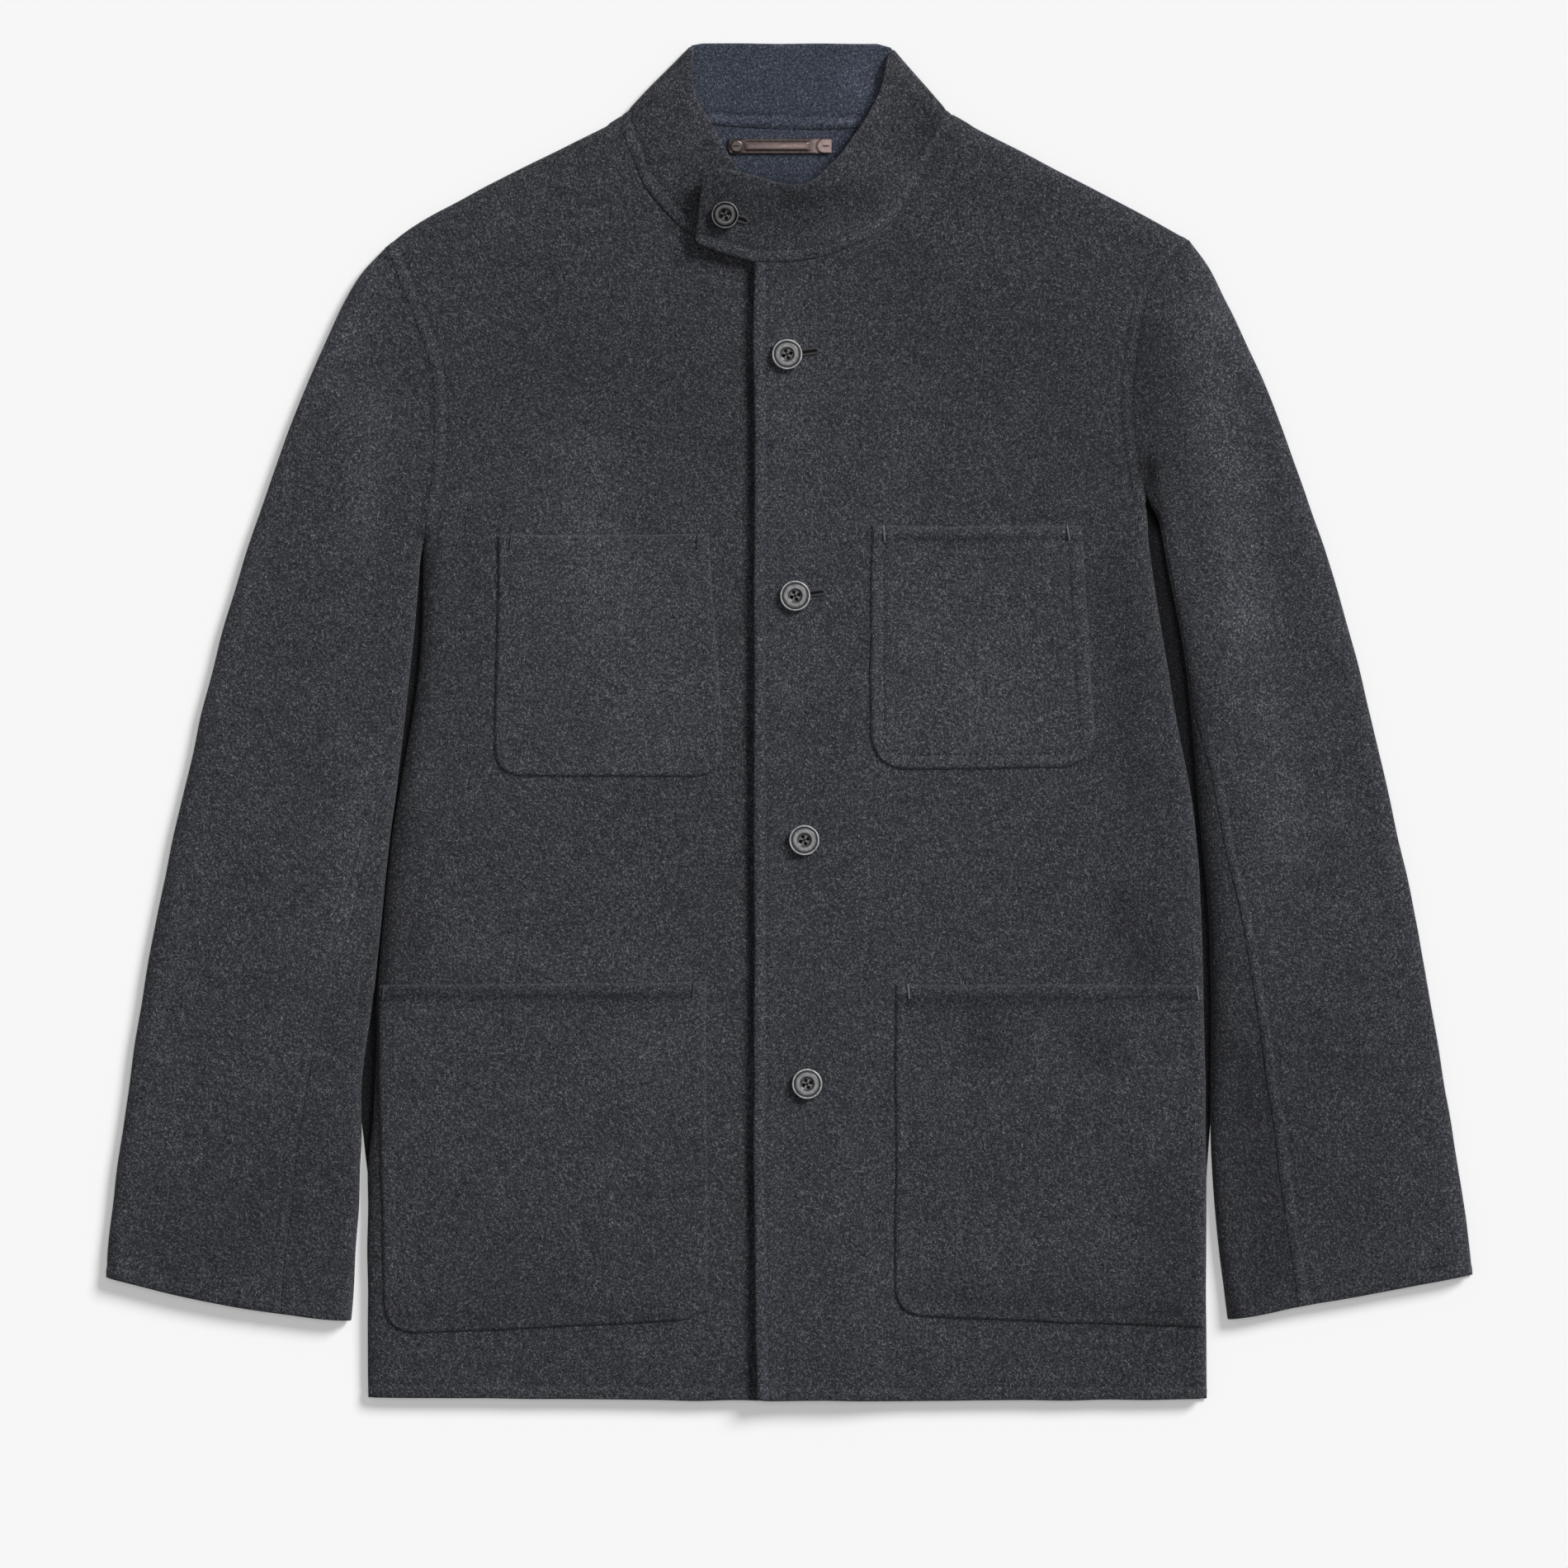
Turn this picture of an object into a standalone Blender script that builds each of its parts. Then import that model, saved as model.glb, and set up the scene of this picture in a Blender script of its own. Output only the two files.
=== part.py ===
"""A felted wool jacket with a buttoned stand collar and four patch pockets, laid flat.

Sizes in the tables are millimetres, and become metres when a mesh is made.
The jacket lies on its back on z = 0, its collar points to +Y and the wearer's left is +X.
Side tables give (out, up): out counts away from the centre line, so both sides share functions.
"""
import math

import bmesh
import bpy
import numpy as np

MM = 0.001
MERGE = 0.00001
SHARP_ANGLE = 40.0
SIGN = {"left": 1.0, "right": -1.0}

# Cloth and how its layers lie on each other
CLOTH = 2.4
SEAM = 0.3
AIR = 3.2
EDGE_ROUND = 12.0
FOLD = 3.8
EDGE_DIP = 1.05
REST = CLOTH + SEAM + EDGE_DIP
TOP = 2.0 * CLOTH + AIR
LAP = CLOTH + 2.0 * SEAM
LAP_FLAT_TO = 24.0
LAP_GONE_AT = 80.0
ARMHOLE_GAP = 0.8
SLEEVE_SEAM_GAP = 0.9
SHOULDER_TIP_GAP = 1.0

# Outlines seen from above, each a smooth curve through a few (out, up) points
NECK = {
    "left": ((-19.9, 267.4), (3.1, 267.8), (26.2, 272.6), (49.2, 283.2), (64.6, 297.1),
             (82.8, 329.3), (91.6, 350.4)),
    "right": ((-20.9, 268.3), (12.7, 269.3), (39.1, 274.6), (57.8, 283.2), (79.4, 304.8),
              (88.6, 320.2), (98.6, 348.9)),
}
SHOULDER = {
    "left": ((91.6, 350.4), (112.6, 343.2), (186.5, 304.8), (232.1, 279.4)),
    "right": ((98.6, 348.9), (113.0, 343.2), (207.1, 295.2), (235.4, 276.0)),
}
ARMHOLE = {
    "left": ((232.1, 279.4), (212.4, 261.6), (205.7, 234.2), (199.4, 186.0), (203.0, 152.0), (208.6, 118.0)),
    "right": ((235.4, 276.0), (218.2, 234.2), (205.5, 205.0), (203.3, 170.0), (205.7, 135.0), (207.6, 105.6)),
}
BODY_SIDE = {
    "left": ((208.6, 118.0), (211.0, 92.0), (225.5, 0.0), (235.0, -49.0), (239.0, -98.0), (241.5, -204.0),
             (242.4, -391.5)),
    "right": ((207.6, 105.6), (211.0, 64.8), (215.8, 12.0), (226.8, -60.0), (239.3, -151.2), (244.8, -198.0),
              (245.5, -392.5)),
}
HEM = {
    "left": ((-19.0, -394.6), (110.0, -394.8), (242.4, -391.5)),
    "right": ((-20.9, -394.8), (110.0, -394.0), (245.5, -392.5)),
}
SLEEVE_OUTER = {
    "left": ((252.7, 247.2), (286.3, 170.4), (319.4, 74.4), (343.9, -21.6), (369.4, -141.6),
             (392.9, -285.6), (397.2, -322.6)),
    "right": ((257.5, 247.2), (290.6, 170.4), (323.3, 74.4), (347.8, -21.6), (373.2, -141.6),
              (394.3, -285.6), (397.2, -322.6)),
}
SLEEVE_INNER = {
    "left": ((213.2, 110.0), (218.2, 92.2), (230.2, 33.1), (237.4, -41.8), (243.1, -106.6), (245.0, -160.0),
             (245.3, -255.0), (254.6, -347.0)),
    "right": ((210.0, 92.0), (213.4, 72.0), (220.6, 12.0), (229.7, -60.0), (240.7, -152.6), (248.0, -205.0),
              (250.2, -270.0), (255.1, -348.3)),
}
CUFF = {
    "left": ((254.6, -347.0), (323.3, -335.0), (397.2, -322.6)),
    "right": ((255.1, -348.3), (315.1, -340.3), (397.2, -322.6)),
}
BACK_NECK = ((91.6, 350.4), (41.5, 345.6), (-1.7, 344.6), (-45.4, 347.5), (-98.6, 348.9))

# Where the back stops closing the slit between the body and a sleeve, as a height up the jacket
SLIT_CLOSED_ABOVE = {"left": -240.0, "right": -215.0}
SLIT_INSET = 0.9

# Share of a sleeve's width, from its inner fold, at which the seam of its two halves runs: (along, share)
SLEEVE_SEAM = ((0.0, 0.012), (0.42, 0.012), (0.50, 0.09), (0.59, 0.127), (0.68, 0.193), (0.76, 0.24),
               (0.85, 0.28), (1.0, 0.29))
ROW_CROWDING = 1.5
FOLD_REACH = 40.0
FOLD_SETTLES_BY = 0.12
TIP_SHARE = 0.1
ARMHOLE_SPAN = 0.01
FOLD_SPAN = 0.02
WRAP_FROM, WRAP_FULL = 0.1, 0.27
CLEAR_FROM, CLEAR_FULL = 0.04, 0.18
WRAP_ROOM, WRAP_ROOM_GONE = 4.0, 0.42

# Soft ridges (height over 0) and troughs in the upper cloth: (x0, y0, x1, y1, half_width, height)
RELIEF = (
    (237.0, 252.0, 285.0, -60.0, 22.0, 0.7),
    (213.0, 228.0, 215.0, 108.0, 9.0, -1.1),
    (203.0, -36.0, 213.0, -146.0, 16.0, -0.9),
    (-248.0, 180.0, -256.0, 110.0, 16.0, 0.6),
    (-248.0, -40.0, -266.0, -110.0, 18.0, 0.7),
    (-110.0, 80.0, -104.0, 10.0, 30.0, 0.6),
)

# Grid lines of the panels
ARMHOLE_LINES = (0.0, 0.002, 0.008, 0.025, 0.055, 0.1, 0.22, 0.36, 0.5, 0.64, 0.78, 0.9, 0.955, 1.0)
NECK_LINES = (0.0, 0.16, 0.33, 0.5, 0.66, 0.83, 1.0)
SHOULDER_LINES = (0.16, 0.34, 0.52, 0.7, 0.82)
SIDE_EDGE_STEPS = (12.0, 7.0, 3.5, 1.2, 0.3, 0.0)
SIDE_LINES = (0.03, 0.08, 0.15, 0.23, 0.32, 0.41, 0.5, 0.6, 0.7, 0.8, 0.9, 1.0)
SLEEVE_LINES = (0.0, 0.04, 0.1, 0.18, 0.27, 0.36, 0.42, 0.46, 0.5, 0.59, 0.68, 0.76, 0.85, 0.93, 1.0)
FOLD_ANGLES = (22.5, 45.0, 67.5, 90.0)
SEAM_STRIP_LINES = (0.1, 0.3, 0.6, 0.85, 1.0)
SEAM_SIDE_LINE = 0.005
FLAT_FROM = 0.05
NECK_SHARE = 0.42
ARMHOLE_SHARE = 0.25
BACK_SHOULDER_LINES = np.linspace(0.0, 1.0, 7)
BACK_SLIT_LINES = np.linspace(0.02, 1.0, 22)
BACK_SIDE_LINES = np.linspace(0.5, 1.0, 8)
BACK_HEM_LINES = (0.75, 0.5, 0.25)

# Collar: seam end and free end of its sections, as (seam_x, seam_y, free_x, free_y)
TAB = ((-55.0, 277.9, -51.1, 317.8), (-37.6, 272.4, -39.6, 321.6))
COLLAR_EDGE = {
    "left": ((-19.9, 317.3), (9.4, 314.9), (23.3, 323.0), (34.3, 336.0), (51.1, 363.8), (57.3, 388.3)),
    "right": ((3.1, 310.6), (19.9, 315.4), (30.5, 323.0), (44.4, 349.0), (52.1, 366.2), (55.2, 390.0)),
}
COLLAR_FOLD = {"left": (93.8, 352.3, 60.7, 391.2), "right": (-101.0, 351.4, -58.3, 393.1)}
COLLAR_TOP_EDGE = 394.6
COLLAR_TOP_HALF = 51.0
COLLAR_BACK_LINES = (0.12, 0.3, 0.5, 0.7, 0.88)
COLLAR_LEAN = {"left": 6.5, "right": 4.5}
COLLAR_FOLD_LEAN = 2.0
COLLAR_FOLD_HEIGHT = 7.4
COLLAR_SEAM_GAP = 1.1
COLLAR_ACROSS = (0.0, 0.12, 0.5, 0.88, 1.0)
COLLAR_TURN_ANGLES = np.linspace(0.0, math.pi, 9)
LEAN_KEPT_TO = 0.3
UNDERLAP_END = 0.2

# Patch pockets: side, upper corners and lower corners as (out, up), then the radius of each lower corner
POCKETS = {
    "pocket_chest_left": ("left", (47.3, 114.2), (170.2, 114.2), (46.3, -27.8), (178.8, -26.9), 17.0, 17.0),
    "pocket_chest_right": ("right", (46.3, 109.9), (169.7, 109.0), (36.7, -32.2), (172.6, -32.2), 18.0, 18.0),
    "pocket_hip_left": ("left", (61.2, -152.2), (241.0, -152.2), (61.2, -345.6), (243.0, -352.8), 17.0, 4.0),
    "pocket_hip_right": ("right", (47.8, -150.7), (240.0, -152.6), (47.3, -348.0), (239.4, -356.6), 18.0, 15.0),
}
POCKET_GAP = 0.55
POCKET_EDGE_INSET = 1.6
POCKET_ACROSS = (0.0, 0.03, 0.1, 0.25, 0.5, 0.75, 0.9, 0.95, 0.98, 1.0)
POCKET_DOWN = (0.0, 0.06, 0.2, 0.4, 0.6, 0.8)
CORNER_ANGLES = (0.0, 22.5, 45.0, 67.5, 90.0)
SLOPE_STEP = 0.2

# Buttons: place of each centre, and the turned profile as shares of radius and thickness
BUTTONS = {
    "button_front_1": (-1.2, 213.6, 17.8),
    "button_front_2": (3.6, 73.4, 17.8),
    "button_front_3": (8.9, -68.6, 17.8),
    "button_front_4": (10.3, -209.8, 17.8),
    "button_collar": (-37.4, 294.7, 15.9),
}
BUTTON_THICKNESS = 3.4
BUTTON_PROFILE = ((0.0, 0.60), (0.44, 0.62), (0.50, 0.84), (0.77, 0.86), (0.81, 0.70), (0.85, 0.70),
                  (0.89, 1.0), (0.96, 0.98), (1.0, 0.80), (0.97, 0.45), (0.80, 0.08), (0.60, 0.0), (0.0, 0.0))
BUTTON_STEPS = 24
BUTTON_LIFT = 0.5
HOLE_RADIUS = 1.05
HOLE_CIRCLE = 2.2
HOLE_TURN = 20.0
HOLE_COUNT = 4
HOLE_SEGMENTS = 10
DRILL_DEPTH = 4.0 * BUTTON_THICKNESS

# Leather hanger loop inside the back neck
LOOP_X, LOOP_Y = -5.3, 334.8
LOOP_LENGTH, LOOP_WIDTH, LOOP_THICKNESS = 60.0, 8.9, 1.5
LOOP_BAR_LENGTH, LOOP_BAR_WIDTH, LOOP_BAR_RISE, LOOP_BAR_SHIFT = 37.0, 4.8, 0.9, -2.0
LOOP_END_RADIUS, LOOP_END_RISE = 4.3, 0.8
LOOP_END_SPAN = 51.0
LOOP_END_SEGMENTS = 24
LOOP_BEVEL, LOOP_BAR_BEVEL = 0.4, 0.6

# Colours (linear) and finish: (red, green, blue, roughness)
WOOL = (0.042, 0.044, 0.050, 0.95)
CHEST_WOOL = (0.050, 0.052, 0.060, 0.95)
LEATHER = (0.14, 0.10, 0.09, 0.55)
HORN = (0.035, 0.036, 0.040, 0.35)


def remove_all():
    """Empty the scene."""
    for thing in list(bpy.data.objects):
        bpy.data.objects.remove(thing, do_unlink=True)


def material(name, look):
    """A Principled material from a (red, green, blue, roughness) look."""
    made = bpy.data.materials.new(name)
    made.use_nodes = True
    shader = made.node_tree.nodes["Principled BSDF"]
    shader.inputs["Base Color"].default_value = (*look[:3], 1.0)
    shader.inputs["Roughness"].default_value = look[3]
    shader.inputs["Metallic"].default_value = 0.0
    return made


def ease(value):
    """Smooth step from 0 to 1."""
    share = min(max(value, 0.0), 1.0)
    return share * share * (3.0 - 2.0 * share)


def trace(points, steps=16):
    """Dense polyline of a Catmull-Rom curve through the points."""
    given = np.array(points, dtype=float)
    padded = np.vstack((2.0 * given[0] - given[1], given, 2.0 * given[-1] - given[-2]))
    line = []
    for before, start, end, after in zip(padded, padded[1:], padded[2:], padded[3:]):
        for step in range(steps):
            t = step / steps
            line.append(0.5 * (2.0 * start + (end - before) * t
                               + (2.0 * before - 5.0 * start + 4.0 * end - after) * t * t
                               + (3.0 * start - before - 3.0 * end + after) * t ** 3))
    line.append(given[-1])
    return np.array(line)


def by_length(line):
    """Function that gives the point of a polyline at a share of its length."""
    line = np.asarray(line)
    steps = np.linalg.norm(np.diff(line, axis=0), axis=1)
    along = np.concatenate(((0.0,), np.cumsum(steps))) / steps.sum()

    def at(share):
        return np.array([np.interp(share, along, line[:, axis]) for axis in range(line.shape[1])])

    return at


def curve(points):
    """Smooth curve through the points, read by share of its length."""
    return by_length(trace(points))


def joined(first, second, split):
    """Two curves end to end, the first used up to the split."""
    def at(share):
        if share <= split:
            return first(share / split)
        return second((share - split) / (1.0 - split))

    return at


def patch(top, bottom, start, end):
    """Surface filled in between four edges: top and bottom run with u, start and end with v."""
    corners = top(0.0), top(1.0), bottom(0.0), bottom(1.0)

    def at(u, v):
        ruled = (1.0 - v) * top(u) + v * bottom(u) + (1.0 - u) * start(v) + u * end(v)
        return ruled - ((1.0 - u) * (1.0 - v) * corners[0] + u * (1.0 - v) * corners[1]
                        + (1.0 - u) * v * corners[2] + u * v * corners[3])

    return at


def distance(point, line):
    """Shortest distance from a point to a polyline."""
    starts = line[:-1]
    runs = line[1:] - starts
    shares = np.einsum("ij,ij->i", point - starts, runs) / np.einsum("ij,ij->i", runs, runs)
    nearest = starts + np.clip(shares, 0.0, 1.0)[:, None] * runs
    return float(np.linalg.norm(point - nearest, axis=1).min())


def rise(gap, reach=EDGE_ROUND):
    """Rounded climb from 0 at an edge to 1 at the reach."""
    share = min(gap / reach, 1.0)
    return math.sqrt(1.0 - (1.0 - share) ** 2)


def relief(x, y):
    """Height of the soft ridges and troughs at a place."""
    total = 0.0
    for x0, y0, x1, y1, half_width, height in RELIEF:
        gap = distance(np.array((x, y)), np.array(((x0, y0), (x1, y1))))
        total += height * math.exp(-(gap / half_width) ** 2)
    return total


class Side:
    """Curves and upper heights of one half of the jacket, in (out, up)."""

    def __init__(self, side):
        self.side = side
        self.sign = SIGN[side]
        self.neck = curve(NECK[side])
        self.shoulder = curve(SHOULDER[side])
        self.armhole = curve(ARMHOLE[side])
        self.body_side = curve(BODY_SIDE[side])
        self.hem = curve(HEM[side])
        self.cuff = curve(CUFF[side])
        self.side_line = trace(BODY_SIDE[side])
        self.sleeve_head = armhole_points(self, ARMHOLE_GAP, SHOULDER_TIP_GAP)[::-1]
        self.inner_line = trace((tuple(self.sleeve_head[0]),) + SLEEVE_INNER[side])
        self.sleeve_edge = trace((tuple(self.sleeve_head[-1]),) + SLEEVE_OUTER[side])
        self.outer_line = np.vstack((trace(SHOULDER[side]), self.sleeve_edge))
        self.inner = by_length(self.inner_line)
        self.outer = by_length(self.sleeve_edge)

    def front_height(self, point):
        """Upper face of the front at an (out, up) point."""
        x = self.sign * point[0]
        climb = rise(distance(point, self.outer_line)) * rise(distance(point, self.side_line))
        height = REST + (TOP + relief(x, point[1]) - REST) * climb
        if self.side == "left":
            height += LAP * (1.0 - ease((point[0] - LAP_FLAT_TO) / (LAP_GONE_AT - LAP_FLAT_TO)))
        return height

    def sleeve_height(self, point):
        """Upper face of the sleeve at an (out, up) point."""
        from_outer = rise(distance(point, self.outer_line))
        from_inner = rise(distance(point, self.inner_line))
        crown = TOP + relief(self.sign * point[0], point[1])
        base = REST + (FOLD - REST) * (1.0 - from_inner) * from_outer
        return base + (crown - base) * from_inner * from_outer

    def side_at(self, up):
        """How far out the body's side is at a height up the jacket."""
        return float(np.interp(-up, -self.side_line[:, 1], self.side_line[:, 0]))

    def world(self, point, height):
        """Metres from an (out, up) point and a height."""
        return (self.sign * point[0] * MM, point[1] * MM, height * MM)


def finish_object(thing, look, home):
    """Give an object its material, smooth shading and place in the collection."""
    thing.data.materials.append(material(thing.name, look))
    thing.data.shade_smooth()
    thing.data.set_sharp_from_angle(angle=math.radians(SHARP_ANGLE))
    home.objects.link(thing)
    return thing


def cloth(name, rows, look, home, facing_up=True):
    """Wall of cloth whose outer face passes through rows of points, thickened inwards."""
    row_count, column_count = len(rows), len(rows[0])
    shape = bmesh.new()
    bmesh.ops.create_grid(shape, x_segments=column_count - 1, y_segments=row_count - 1, size=0.5)
    for vertex in shape.verts:
        column = round((vertex.co.x + 0.5) * (column_count - 1))
        row = round((vertex.co.y + 0.5) * (row_count - 1))
        vertex.co = rows[row][column]
    shape.normal_update()
    upward = sum(face.normal.z * face.calc_area() for face in shape.faces)
    if (upward > 0.0) != facing_up:
        bmesh.ops.reverse_faces(shape, faces=shape.faces)
    mesh = bpy.data.meshes.new(name)
    shape.to_mesh(mesh)
    shape.free()
    thing = finish_object(bpy.data.objects.new(name, mesh), look, home)
    wall = thing.modifiers.new("wall", "SOLIDIFY")
    wall.thickness = CLOTH * MM
    wall.offset = -1.0
    wall.use_quality_normals = True
    return thing


def front(half, look, home):
    """One front, from its centre edge to the side, armhole, shoulder and neck."""
    top = joined(half.neck, half.shoulder, NECK_SHARE)
    outer_edge = joined(half.armhole, half.body_side, ARMHOLE_SHARE)
    centre_edge = by_length((NECK[half.side][0], HEM[half.side][0]))
    at = patch(top, half.hem, centre_edge, outer_edge)
    width = HEM[half.side][-1][0] - HEM[half.side][0][0]
    across = [NECK_SHARE * line for line in NECK_LINES]
    across += [NECK_SHARE + (1.0 - NECK_SHARE) * line for line in SHOULDER_LINES]
    across += [1.0 - step / width for step in SIDE_EDGE_STEPS]
    down = [ARMHOLE_SHARE * line for line in ARMHOLE_LINES]
    down += [ARMHOLE_SHARE + (1.0 - ARMHOLE_SHARE) * line for line in SIDE_LINES]
    rows = []
    for v in down:
        points = [at(u, v) for u in across]
        rows.append([half.world(point, half.front_height(point)) for point in points])
    return cloth("front_" + half.side, rows, look, home)


def armhole_points(half, away=0.0, away_at_tip=0.0):
    """Armhole from the shoulder to the underarm, moved out onto the sleeve by the distance away."""
    moved = []
    for line in ARMHOLE_LINES:
        run = half.armhole(min(line + ARMHOLE_SPAN, 1.0)) - half.armhole(max(line - ARMHOLE_SPAN, 0.0))
        normal = np.array((-run[1], run[0])) / np.linalg.norm(run)
        tip = 1.0 - ease(line / TIP_SHARE)
        moved.append(half.armhole(line) + (away + away_at_tip * tip) * normal)
    return moved


def sleeve_plan(half):
    """Plan of a sleeve: the point at a distance from the inner fold on a row, and its grid lines."""
    head = half.sleeve_head
    lengths = np.concatenate(((0.0,), np.cumsum(np.linalg.norm(np.diff(head, axis=0), axis=1))))
    lines = lengths / lengths[-1]

    def inner(v):
        return half.inner(v ** ROW_CROWDING)

    at = patch(by_length(head), half.cuff, inner, half.outer)

    def width(v):
        return float(np.linalg.norm(half.outer(v) - inner(v)))

    def point(gap, v):
        run = inner(min(v + FOLD_SPAN, 1.0)) - inner(max(v - FOLD_SPAN, 0.0))
        normal = np.array((-run[1], run[0])) / np.linalg.norm(run)
        beside = inner(v) + normal * gap
        nearness = (1.0 - ease(gap / FOLD_REACH)) * ease(v / FOLD_SETTLES_BY)
        return (1.0 - nearness) * at(gap / width(v), v) + nearness * beside

    return point, width, lines


def seam_share(v):
    """Where the seam of the two sleeve halves lies, as a share of the width."""
    return float(np.interp(v, [row[0] for row in SLEEVE_SEAM], [row[1] for row in SLEEVE_SEAM]))


def fold_path(half, point, v, reach):
    """Outer face of the under half round the inner fold and up to the seam, as (gap, height) pairs."""
    path = [(FOLD, 0.0)]
    for angle in FOLD_ANGLES:
        turn = math.radians(angle)
        path.append((FOLD * (1.0 - math.sin(turn)), FOLD * (1.0 - math.cos(turn))))
    for line in SEAM_STRIP_LINES:
        path.append((reach * line, half.sleeve_height(point(reach * line, v))))
    return path


def sleeve(half, look, home):
    """Upper and under half of a sleeve, a flattened tube that is open at the cuff."""
    point, width, lines = sleeve_plan(half)
    lines_with_seam = np.insert(lines, 1, SEAM_SIDE_LINE)
    top_rows, under_rows = [], []
    for v in SLEEVE_LINES:
        wrapped = ease((v - WRAP_FROM) / (WRAP_FULL - WRAP_FROM))
        reach = seam_share(v) * width(v)
        clear = ease((v - CLEAR_FROM) / (CLEAR_FULL - CLEAR_FROM))
        start = clear * (reach + SLEEVE_SEAM_GAP + WRAP_ROOM * (1.0 - ease(v / WRAP_ROOM_GONE)))
        top = [point(start + (width(v) - start) * line, v) for line in lines_with_seam]
        top_rows.append([half.world(place, half.sleeve_height(place)) for place in top])

        under = [half.world(point(line * width(v), v), 0.0) for line in lines[::-1] if line > FLAT_FROM]
        path = fold_path(half, point, v, reach)
        for index, (gap, height) in enumerate(path):
            unrolled = FOLD * (1.0 - index / (len(path) - 1.0))
            place = point(wrapped * gap + (1.0 - wrapped) * unrolled, v)
            under.append(half.world(place, wrapped * height))
        under_rows.append(under)
    cloth("sleeve_%s_top" % half.side, top_rows, look, home)
    cloth("sleeve_%s_under" % half.side, under_rows, look, home, facing_up=False)


def back_outline(half):
    """Half outline of the back from the neck to the hem, in x and y."""
    outline = [half.shoulder(line) for line in BACK_SHOULDER_LINES]
    outline += armhole_points(half)[1:]
    closed_above = SLIT_CLOSED_ABOVE[half.side]
    for share in BACK_SLIT_LINES:
        place = half.inner(share) - np.array((SLIT_INSET, 0.0))
        if place[1] > closed_above:
            outline.append(place)
    outline += [place for place in (half.body_side(share) for share in BACK_SIDE_LINES)
                if place[1] < closed_above - EDGE_ROUND]
    outline += [half.hem(share) for share in BACK_HEM_LINES]
    return [(half.sign * place[0], place[1]) for place in outline]


def outline_solid(name, outline, base, thickness, look, home):
    """Flat piece with the given outline, in millimetres, extruded upwards from its base."""
    flat = bpy.data.curves.new(name, "CURVE")
    flat.dimensions = "2D"
    flat.fill_mode = "BOTH"
    flat.extrude = 0.5 * thickness * MM
    spline = flat.splines.new("POLY")
    spline.points.add(len(outline) - 1)
    for vertex, (x, y) in zip(spline.points, outline):
        vertex.co = (x * MM, y * MM, 0.0, 1.0)
    spline.use_cyclic_u = True
    flat.materials.append(material(name, look))
    thing = bpy.data.objects.new(name, flat)
    thing.location.z = (base + 0.5 * thickness) * MM
    home.objects.link(thing)
    return thing


def back(halves, look, home):
    """The back, one flat panel that lies on the floor."""
    neck = curve(BACK_NECK)
    inner_neck = [tuple(neck(line)) for line in COLLAR_BACK_LINES[::-1]]
    outline = back_outline(halves["left"]) + back_outline(halves["right"])[::-1] + inner_neck
    return outline_solid("back", outline, 0.0, CLOTH, look, home)


def collar_section(seam, free, seam_height, free_height):
    """Points across the collar from its seam to its free edge."""
    run = np.array(free) - np.array(seam)
    seam = np.array(seam) + COLLAR_SEAM_GAP * run / np.linalg.norm(run)
    low = np.array((*seam, seam_height))
    high = np.array((*free, free_height))
    return [tuple(((1.0 - share) * low + share * high) * MM) for share in COLLAR_ACROSS]


def collar_front(half, lines, edge_share):
    """Sections of the collar on one front, from the centre towards the fold at the neck's side."""
    edge = curve(COLLAR_EDGE[half.side])
    sections = []
    for line in lines:
        seam, free = half.neck(line), edge(edge_share(line))
        height = max(half.front_height(seam), COLLAR_FOLD_HEIGHT)
        settle = ease((line - LEAN_KEPT_TO) / (1.0 - LEAN_KEPT_TO))
        lean = (1.0 - settle) * COLLAR_LEAN[half.side] + settle * COLLAR_FOLD_LEAN
        place = (half.sign * seam[0], seam[1]), (half.sign * free[0], free[1])
        sections.append(collar_section(*place, height, height + lean))
    return sections


def collar_turn(side):
    """Sections round the fold at one side of the neck, from the front down to the back."""
    seam_x, seam_y, free_x, free_y = COLLAR_FOLD[side]
    run = np.array((free_x - seam_x, free_y - seam_y))
    run = run / np.linalg.norm(run)
    outward = SIGN[side] * np.array((run[1], -run[0]))
    radii = 0.5 * COLLAR_FOLD_HEIGHT, 0.5 * (COLLAR_FOLD_HEIGHT + COLLAR_FOLD_LEAN)
    sections = []
    for angle in COLLAR_TURN_ANGLES:
        ends, heights = [], []
        for place, radius in zip(((seam_x, seam_y), (free_x, free_y)), radii):
            ends.append(np.array(place) + outward * radius * (math.sin(angle) - 1.0))
            heights.append(radius * (1.0 + math.cos(angle)))
        sections.append(collar_section(*ends, *heights))
    return sections


def collar(halves, look, home):
    """Stand collar, one band from the tab round the back of the neck to the underlap."""
    left, right = halves["left"], halves["right"]
    tab_height = TOP + LAP
    sections = []
    for seam_x, seam_y, free_x, free_y in TAB:
        sections.append(collar_section((seam_x, seam_y), (free_x, free_y), tab_height,
                                       tab_height + COLLAR_LEAN["left"]))
    sections += collar_front(left, NECK_LINES[:-1], lambda line: line)
    sections += collar_turn("left")
    neck = curve(BACK_NECK)
    for line in COLLAR_BACK_LINES:
        share = (line - COLLAR_BACK_LINES[0]) / (COLLAR_BACK_LINES[-1] - COLLAR_BACK_LINES[0])
        free = (COLLAR_TOP_HALF * (1.0 - 2.0 * share), COLLAR_TOP_EDGE)
        sections.append(collar_section(neck(line), free, 0.0, 0.0))
    sections += collar_turn("right")[::-1]
    lines = [line for line in NECK_LINES[-2::-1] if line > UNDERLAP_END] + [UNDERLAP_END]
    sections += collar_front(right, lines, lambda line: (line - UNDERLAP_END) / (1.0 - UNDERLAP_END))
    return cloth("collar", sections, look, home)


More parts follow.
